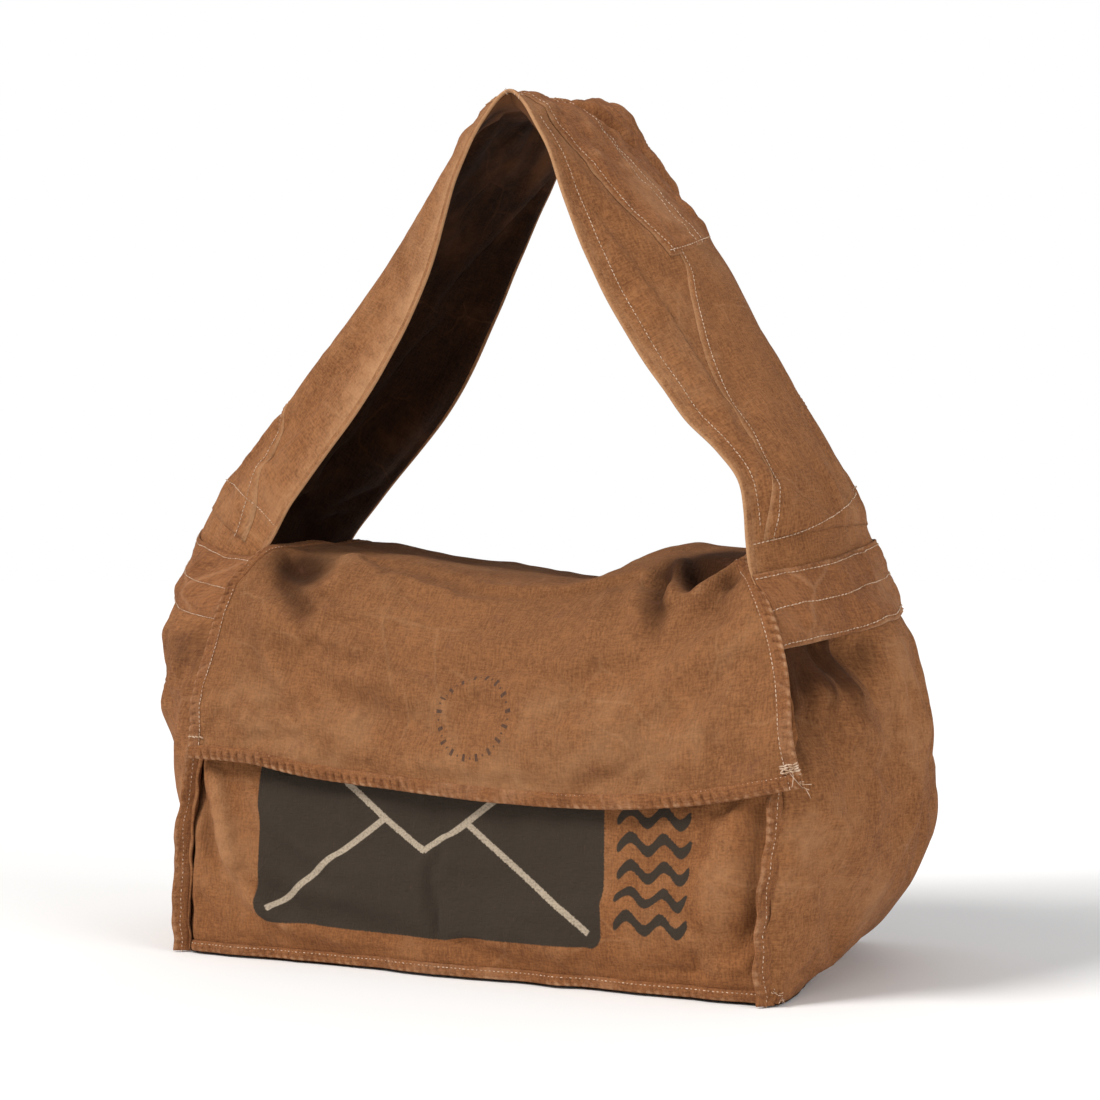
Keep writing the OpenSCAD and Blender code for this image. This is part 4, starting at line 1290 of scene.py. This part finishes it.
def shoulder_pad(strap):
    """The doubled pad over the ridge, sewn down all round."""
    i, j = np.meshgrid(steps(0, 1, 0.009), steps(0, 1, 0.009), indexing="ij")
    start = 0.455
    end = 0.657 - 0.032 * smooth(j, 0, 1)
    d = start + (end - start) * i
    t = curve(d, PAD_FRONT) * (1 - j) + 0.97 * j
    x = t * STRAP_HALF
    border = np.minimum(np.minimum(i, 1 - i), np.minimum(j, 1 - j))
    wrinkles = 0.0013 * noise(x, d, (0.020, 0.009), 291)
    wrinkles = wrinkles + 0.0009 * noise(x + 0.3 * d, d, (0.006, 0.016), 293)
    top = sewn_down(i, j, 0.0019, 0.0042, 0.05) + wrinkles * smooth(border, 0, 0.06)
    top = np.maximum(top, 0.0016)
    cloth = strap_layer(strap, d, t, (top + 0.0009) / 2)
    cloth.worn(0.40 * peak(border, 0.02) + 130 * np.clip(wrinkles, 0, 0.003))
    cloth.worn(0.22 * np.clip(noise(x, d, 0.012, 292), 0, 1))
    piece = shell("shoulder_pad_cloth", cloth, MATERIALS["pad"], top - 0.0009)
    strap_piece(piece, "shoulder_pad", slot="pad_canvas")
    outer = strap_layer(strap, d, t, top)
    a = steps(0.02, 0.98, 0.01)
    lines = [(a, 0.03), (0.975, a), (0.02, a), (a, 0.97), (a, 0.42 - 0.18 * a), (a, 0.47 - 0.16 * a)]
    return [outer.at(*line, lift=0.0002) for line in lines]


def linings(strap):
    """The dark cloth on the underside of the strap, in two lengths that meet near the ridge."""
    for side_name, low, high in (("left", 0.030, 0.4850), ("right", 0.4865, STRAP_LENGTH - 0.030)):
        d, t = np.meshgrid(steps(low, high, GRID), steps(-0.975, 0.975, 0.03), indexing="ij")
        x = t * STRAP_HALF
        near_ridge = peak(d, 0.08, STRAP_RIDGE)
        lift = -0.0030 - 0.0010 * noise(x, d, (0.014, 0.06), 301) + 0.0010 * noise(x, d, 0.03, 302)
        lift = lift - 0.0030 * near_ridge * (1 + noise(x + 0.4 * d, d, (0.016, 0.06), 303))
        near_edge = peak(0.975 - np.abs(t), 0.06)
        lift = lift * (1 - near_edge) - 0.0017 * near_edge
        for seam in (0.12, 0.42):
            lift = lift - 0.0008 * peak(d - low, 0.003, seam)
        cloth = strap_layer(strap, d, t, lift)
        cloth.sign = -cloth.sign
        patchy = 0.75 + 0.5 * noise(x, d, (0.02, 0.05), 304)
        cloth.worn(1.2 * peak(d, 0.075, STRAP_RIDGE) * patchy)
        strap_piece(shell(f"{side_name}_lining_cloth", cloth, MATERIALS["dark"], 0.0010),
                    f"{side_name}_strap_lining", slot="dark_canvas")


def strap_edges(strap):
    """The folded edges of the strap."""
    for name, b, inner in (("front", 0.0, 0.02), ("rear", 1.0, 0.98)):
        a = steps(0.0, 1.0, 0.0016 / STRAP_LENGTH)
        edge, normal = strap.at(a, b)
        inwards = unit(strap.at(a, inner)[0] - edge)
        rings, flat, _ = hem_rings(edge - inwards * 0.0004, inwards, normal, 0.0060, 0.0030,
                                   311 if b else 321, pucker=0.0)
        wear_and_shade = 0.30 + 0.45 * peak(flat[..., 0], 0.0011)
        strap_piece(swept(f"strap_{name}_edge", rings, MATERIALS["canvas"], flat, wear_and_shade))


def build_strap(walls):
    """The strap with its layers, edges and bands."""
    strap = strap_cloth()
    held = edges_held(strap, 3)
    sewn_rows = int(0.07 / GRID)        # at each end, where the bands and facings hold it
    held[:sewn_rows] = held[-sewn_rows:] = True
    held[int(0.47 / GRID):int(0.51 / GRID)] = True      # the ridge keeps its shape
    settle(strap, held, 0.024, 0.0040, weight=0.2)
    piece = shell("strap_cloth", strap, MATERIALS["canvas"], 0.0020)
    strap_piece(piece, "shoulder_strap", "left_strap_end", "right_strap_end")
    sewn = facings(strap) + shoulder_pad(strap)
    linings(strap)
    strap_edges(strap)
    b = steps(0.01, 0.99, 0.01)
    for side in (-1, 1):                # the row of stitches across the strap, above each band
        distance = 0.067 + 0.031 * smooth(b, 0, 1)
        if side < 0:
            distance = 0.095 - 0.018 * smooth(b, 0, 0.5) + 0.012 * smooth(b, 0.5, 1)
        d = distance if side < 0 else STRAP_LENGTH - distance
        t = 2 * b - 1
        first, last = curve(distance, FACING[side]).T
        on_facing = smooth(t, first, first + 0.05) * (1 - smooth(t, last - 0.05, last))
        sewn.append(strap.at(*shares(d, t), lift=0.0012 + 0.0020 * on_facing))
    a = steps(0.085, 0.44, 0.004)
    sewn.append(strap.at(1 - a, 0.045 + 0.02 * smooth(a, 0.30, 0.44), lift=0.0012))
    strap_piece(stitches("strap_stitches", sewn, 401), slot="thread")
    band_rows = bands(strap, walls)
    bag_piece(stitches("band_stitches", band_rows, 402), slot="thread")
    tip = strap.spot(STRAP_RIDGE / STRAP_LENGTH, 0.0)
    roots = [(tip + [0.003 * k, 0.001 * k, -0.0015 * abs(k)], (0.2 * k, -0.9, 0.2)) for k in (-1, 0, 1, 2)]
    strap_piece(fray("ridge_fray", roots, 403, 0.005, 3), slot="thread")


def part_of(cloth, first, last):
    """Some rows of a cloth, with the normals that they have in the whole of it."""
    cut = Cloth(cloth.p[first:last], cloth.flat[first:last, :, 0], cloth.flat[first:last, :, 1], (0, 0, 1))
    whole = cloth.normals()[first:last]
    cut.normals = lambda: whole
    cut.wear_and_shade = cloth.wear_and_shade[first:last]
    return cut


def build_flap():
    """The flap in two stretches, its hems, stitches and corner tacks."""
    flap = flap_cloth()
    held = edges_held(flap, 2)
    held[:int((FLAP_JOIN + 0.045) / GRID)] = True       # the top keeps the shape of its crest
    settle(flap, held, 0.028, 0.0045, weight=0.1)
    rows = flap.p.shape[0]
    join = int(round(FLAP_JOIN / FLAP_LENGTH * (rows - 1)))
    top, fall = part_of(flap, 0, join + 1), part_of(flap, join, rows)
    flap_piece(shell("flap_top_cloth", top, MATERIALS["flap"], own_normals=True), "flap_top")
    fall_piece(shell("flap_fall_cloth", fall, MATERIALS["flap"], own_normals=True), "flap_fall")
    cut = join / (rows - 1)
    beside = 0.0080 / 0.44          # from a side edge to its stitches, as a share of the flap's width
    top_rows, fall_rows = [], []
    for b, inner, side_name in ((0.0, 0.02, "left"), (1.0, 0.98, "right")):
        for low, high, make, name, lines in (
                (0.012, cut, flap_piece, f"flap_top_{side_name}_hem", top_rows),
                (cut, 1.0, fall_piece, f"flap_{side_name}_hem", fall_rows)):
            a = steps(low, high, FINE / FLAP_LENGTH)
            piece = hem(name + "_cloth", flap, (a, b), (a, inner),
                        501 + int(b) + int(low > cut / 2) * 2, width=0.0100)
            make(piece, name, slot=WORN)
            if lines is fall_rows:
                a = steps(low, 1 - 0.002, 0.004)
            lines.append(flap.at(a, b + (beside if b < 0.5 else -beside), ON_TOP))
    b = steps(0.0, 1.0, FINE / 0.478)
    piece = hem("flap_bottom_hem_cloth", flap, (1, b), (0.98, b), 511, width=0.0105, thickness=0.0038)
    fall_piece(piece, "flap_bottom_hem", slot=WORN)
    fall_rows.append(flap.at(1 - 0.0085 / FLAP_LENGTH, b, ON_TOP))
    flap_piece(stitches("flap_top_stitches", top_rows, 521), slot="thread")
    fall_piece(stitches("flap_stitches", fall_rows, 522), slot="thread")
    tacks = []
    for b, count in ((0.012, 1), (0.988, 4)):
        across = np.linspace(b - 0.010, b + 0.010, 4)
        for a in np.linspace(0.955, 0.968, count):
            tacks.append(flap.at(a, np.clip(across, 0, 1), 0.0021))
    piece = stitches("flap_corner_tacks_thread", tacks, 523, 0.0006, 1.2, 0.25)
    fall_piece(piece, "flap_corner_tacks", slot="thread")
    roots = [(flap.spot(a, b, 0.0015), way) for a, b, way in
             ((0.965, 0.99, (0.6, -0.7, -0.2)), (0.995, 0.998, (0.8, -0.4, -0.5)))]
    fall_piece(fray("flap_corner_fray", roots, 524, 0.009), slot="thread")


def build_bag():
    """The panels, seams and stitches of the bag itself, and its two side walls for the bands."""
    front, back, left, right = bag_panels()
    bottom_panel(left, right)
    rows = corner_seams(front, back, left, right) + bottom_seams(front, back) + mouth_hem(front)
    bag_piece(stitches("bag_stitches", rows, 531), slot="thread")
    foot = front.spot(0.0, 1.0)
    roots = [(foot + [0.002, -0.003, -0.002], (0.3, -0.6, -0.3)),
             (foot + [0.000, -0.006, 0.001], (0.2, -0.8, 0.1))]
    bag_piece(fray("seam_fray", roots, 532, 0.005), slot="thread")
    return {-1: left, 1: right}


# ------------------------------------------------------------------ camera, light and floor
def set_camera():
    """The camera stands in front of the bag and to its right, level with the top of its flap."""
    data = bpy.data.cameras.new("camera")
    data.sensor_width, data.lens = 36.0, 70.5
    data.shift_y = 0.0155
    data.clip_end = 60
    camera = placed("camera", data)
    camera.location = (0.7251, -1.4661, 0.289)
    camera.rotation_euler = (math.radians(90), 0, math.radians(26))
    bpy.context.scene.camera = camera


def soft_sun(name, place, strength, spread, tint):
    """A lamp so far away that its light is even, and so wide that its shadows are soft."""
    data = bpy.data.lights.new(name, "SUN")
    data.energy, data.color = strength, tint
    data.angle = math.radians(spread)
    lamp = placed(name, data)
    lamp.location = place
    x, y, z = place
    lamp.rotation_euler = (math.atan2(math.hypot(x, y), z), 0, math.atan2(y, x) + math.pi / 2)


LIGHT_LEVEL = 0.40
BACKDROP_LEVEL = 1.0


def set_studio():
    """An even pale room, a key light from the left, a weaker one from the right and a pale floor."""
    world = bpy.data.worlds.new("studio")
    world.use_nodes = True
    background = world.node_tree.nodes["Background"]
    background.inputs["Color"].default_value = (1, 1, 1, 1)
    seen = world.node_tree.nodes.new("ShaderNodeLightPath")
    strength = world.node_tree.nodes.new("ShaderNodeMapRange")
    strength.inputs["To Min"].default_value = LIGHT_LEVEL
    strength.inputs["To Max"].default_value = BACKDROP_LEVEL
    world.node_tree.links.new(seen.outputs["Is Camera Ray"], strength.inputs["Value"])
    world.node_tree.links.new(strength.outputs[0], background.inputs["Strength"])
    bpy.context.scene.world = world
    bpy.context.scene.view_settings.view_transform = "Standard"
    soft_sun("key", (-1.5, -1.7, 2.1), 2.65, 22, (1.0, 0.98, 0.95))
    soft_sun("fill", (2.4, -0.65, 0.95), 1.20, 40, (0.98, 0.99, 1.0))
    soft_sun("top", (0.1, 0.5, 2.6), 0.35, 60, (1.0, 1.0, 1.0))
    mesh = bpy.data.meshes.new("floor")
    turn = np.linspace(0, 2 * np.pi, 96, endpoint=False)
    radii = np.array([0.8, 3.0, 12.0, 40.0])
    ring = np.stack([np.cos(turn), np.sin(turn), turn * 0], -1)
    points = np.concatenate([[[0, 0, 0]], *[ring * r for r in radii]])
    n = len(turn)
    faces = [(0, 1 + k, 1 + (k + 1) % n) for k in range(n)]
    for level in range(len(radii) - 1):
        low, high = 1 + level * n, 1 + (level + 1) * n
        faces += [(low + k, high + k, high + (k + 1) % n, low + (k + 1) % n) for k in range(n)]
    mesh.from_pydata(points.tolist(), [], faces)
    floor = placed("floor", mesh)
    paint = Paint("floor")
    paint.shader.inputs["Base Color"].default_value = (0.93, 0.93, 0.93, 1)
    paint.shader.inputs["Roughness"].default_value = 0.9
    mesh.materials.append(paint.material)


set_camera()
set_studio()
walls = build_bag()
build_strap(walls)
build_flap()

bpy.context.view_layer.update()
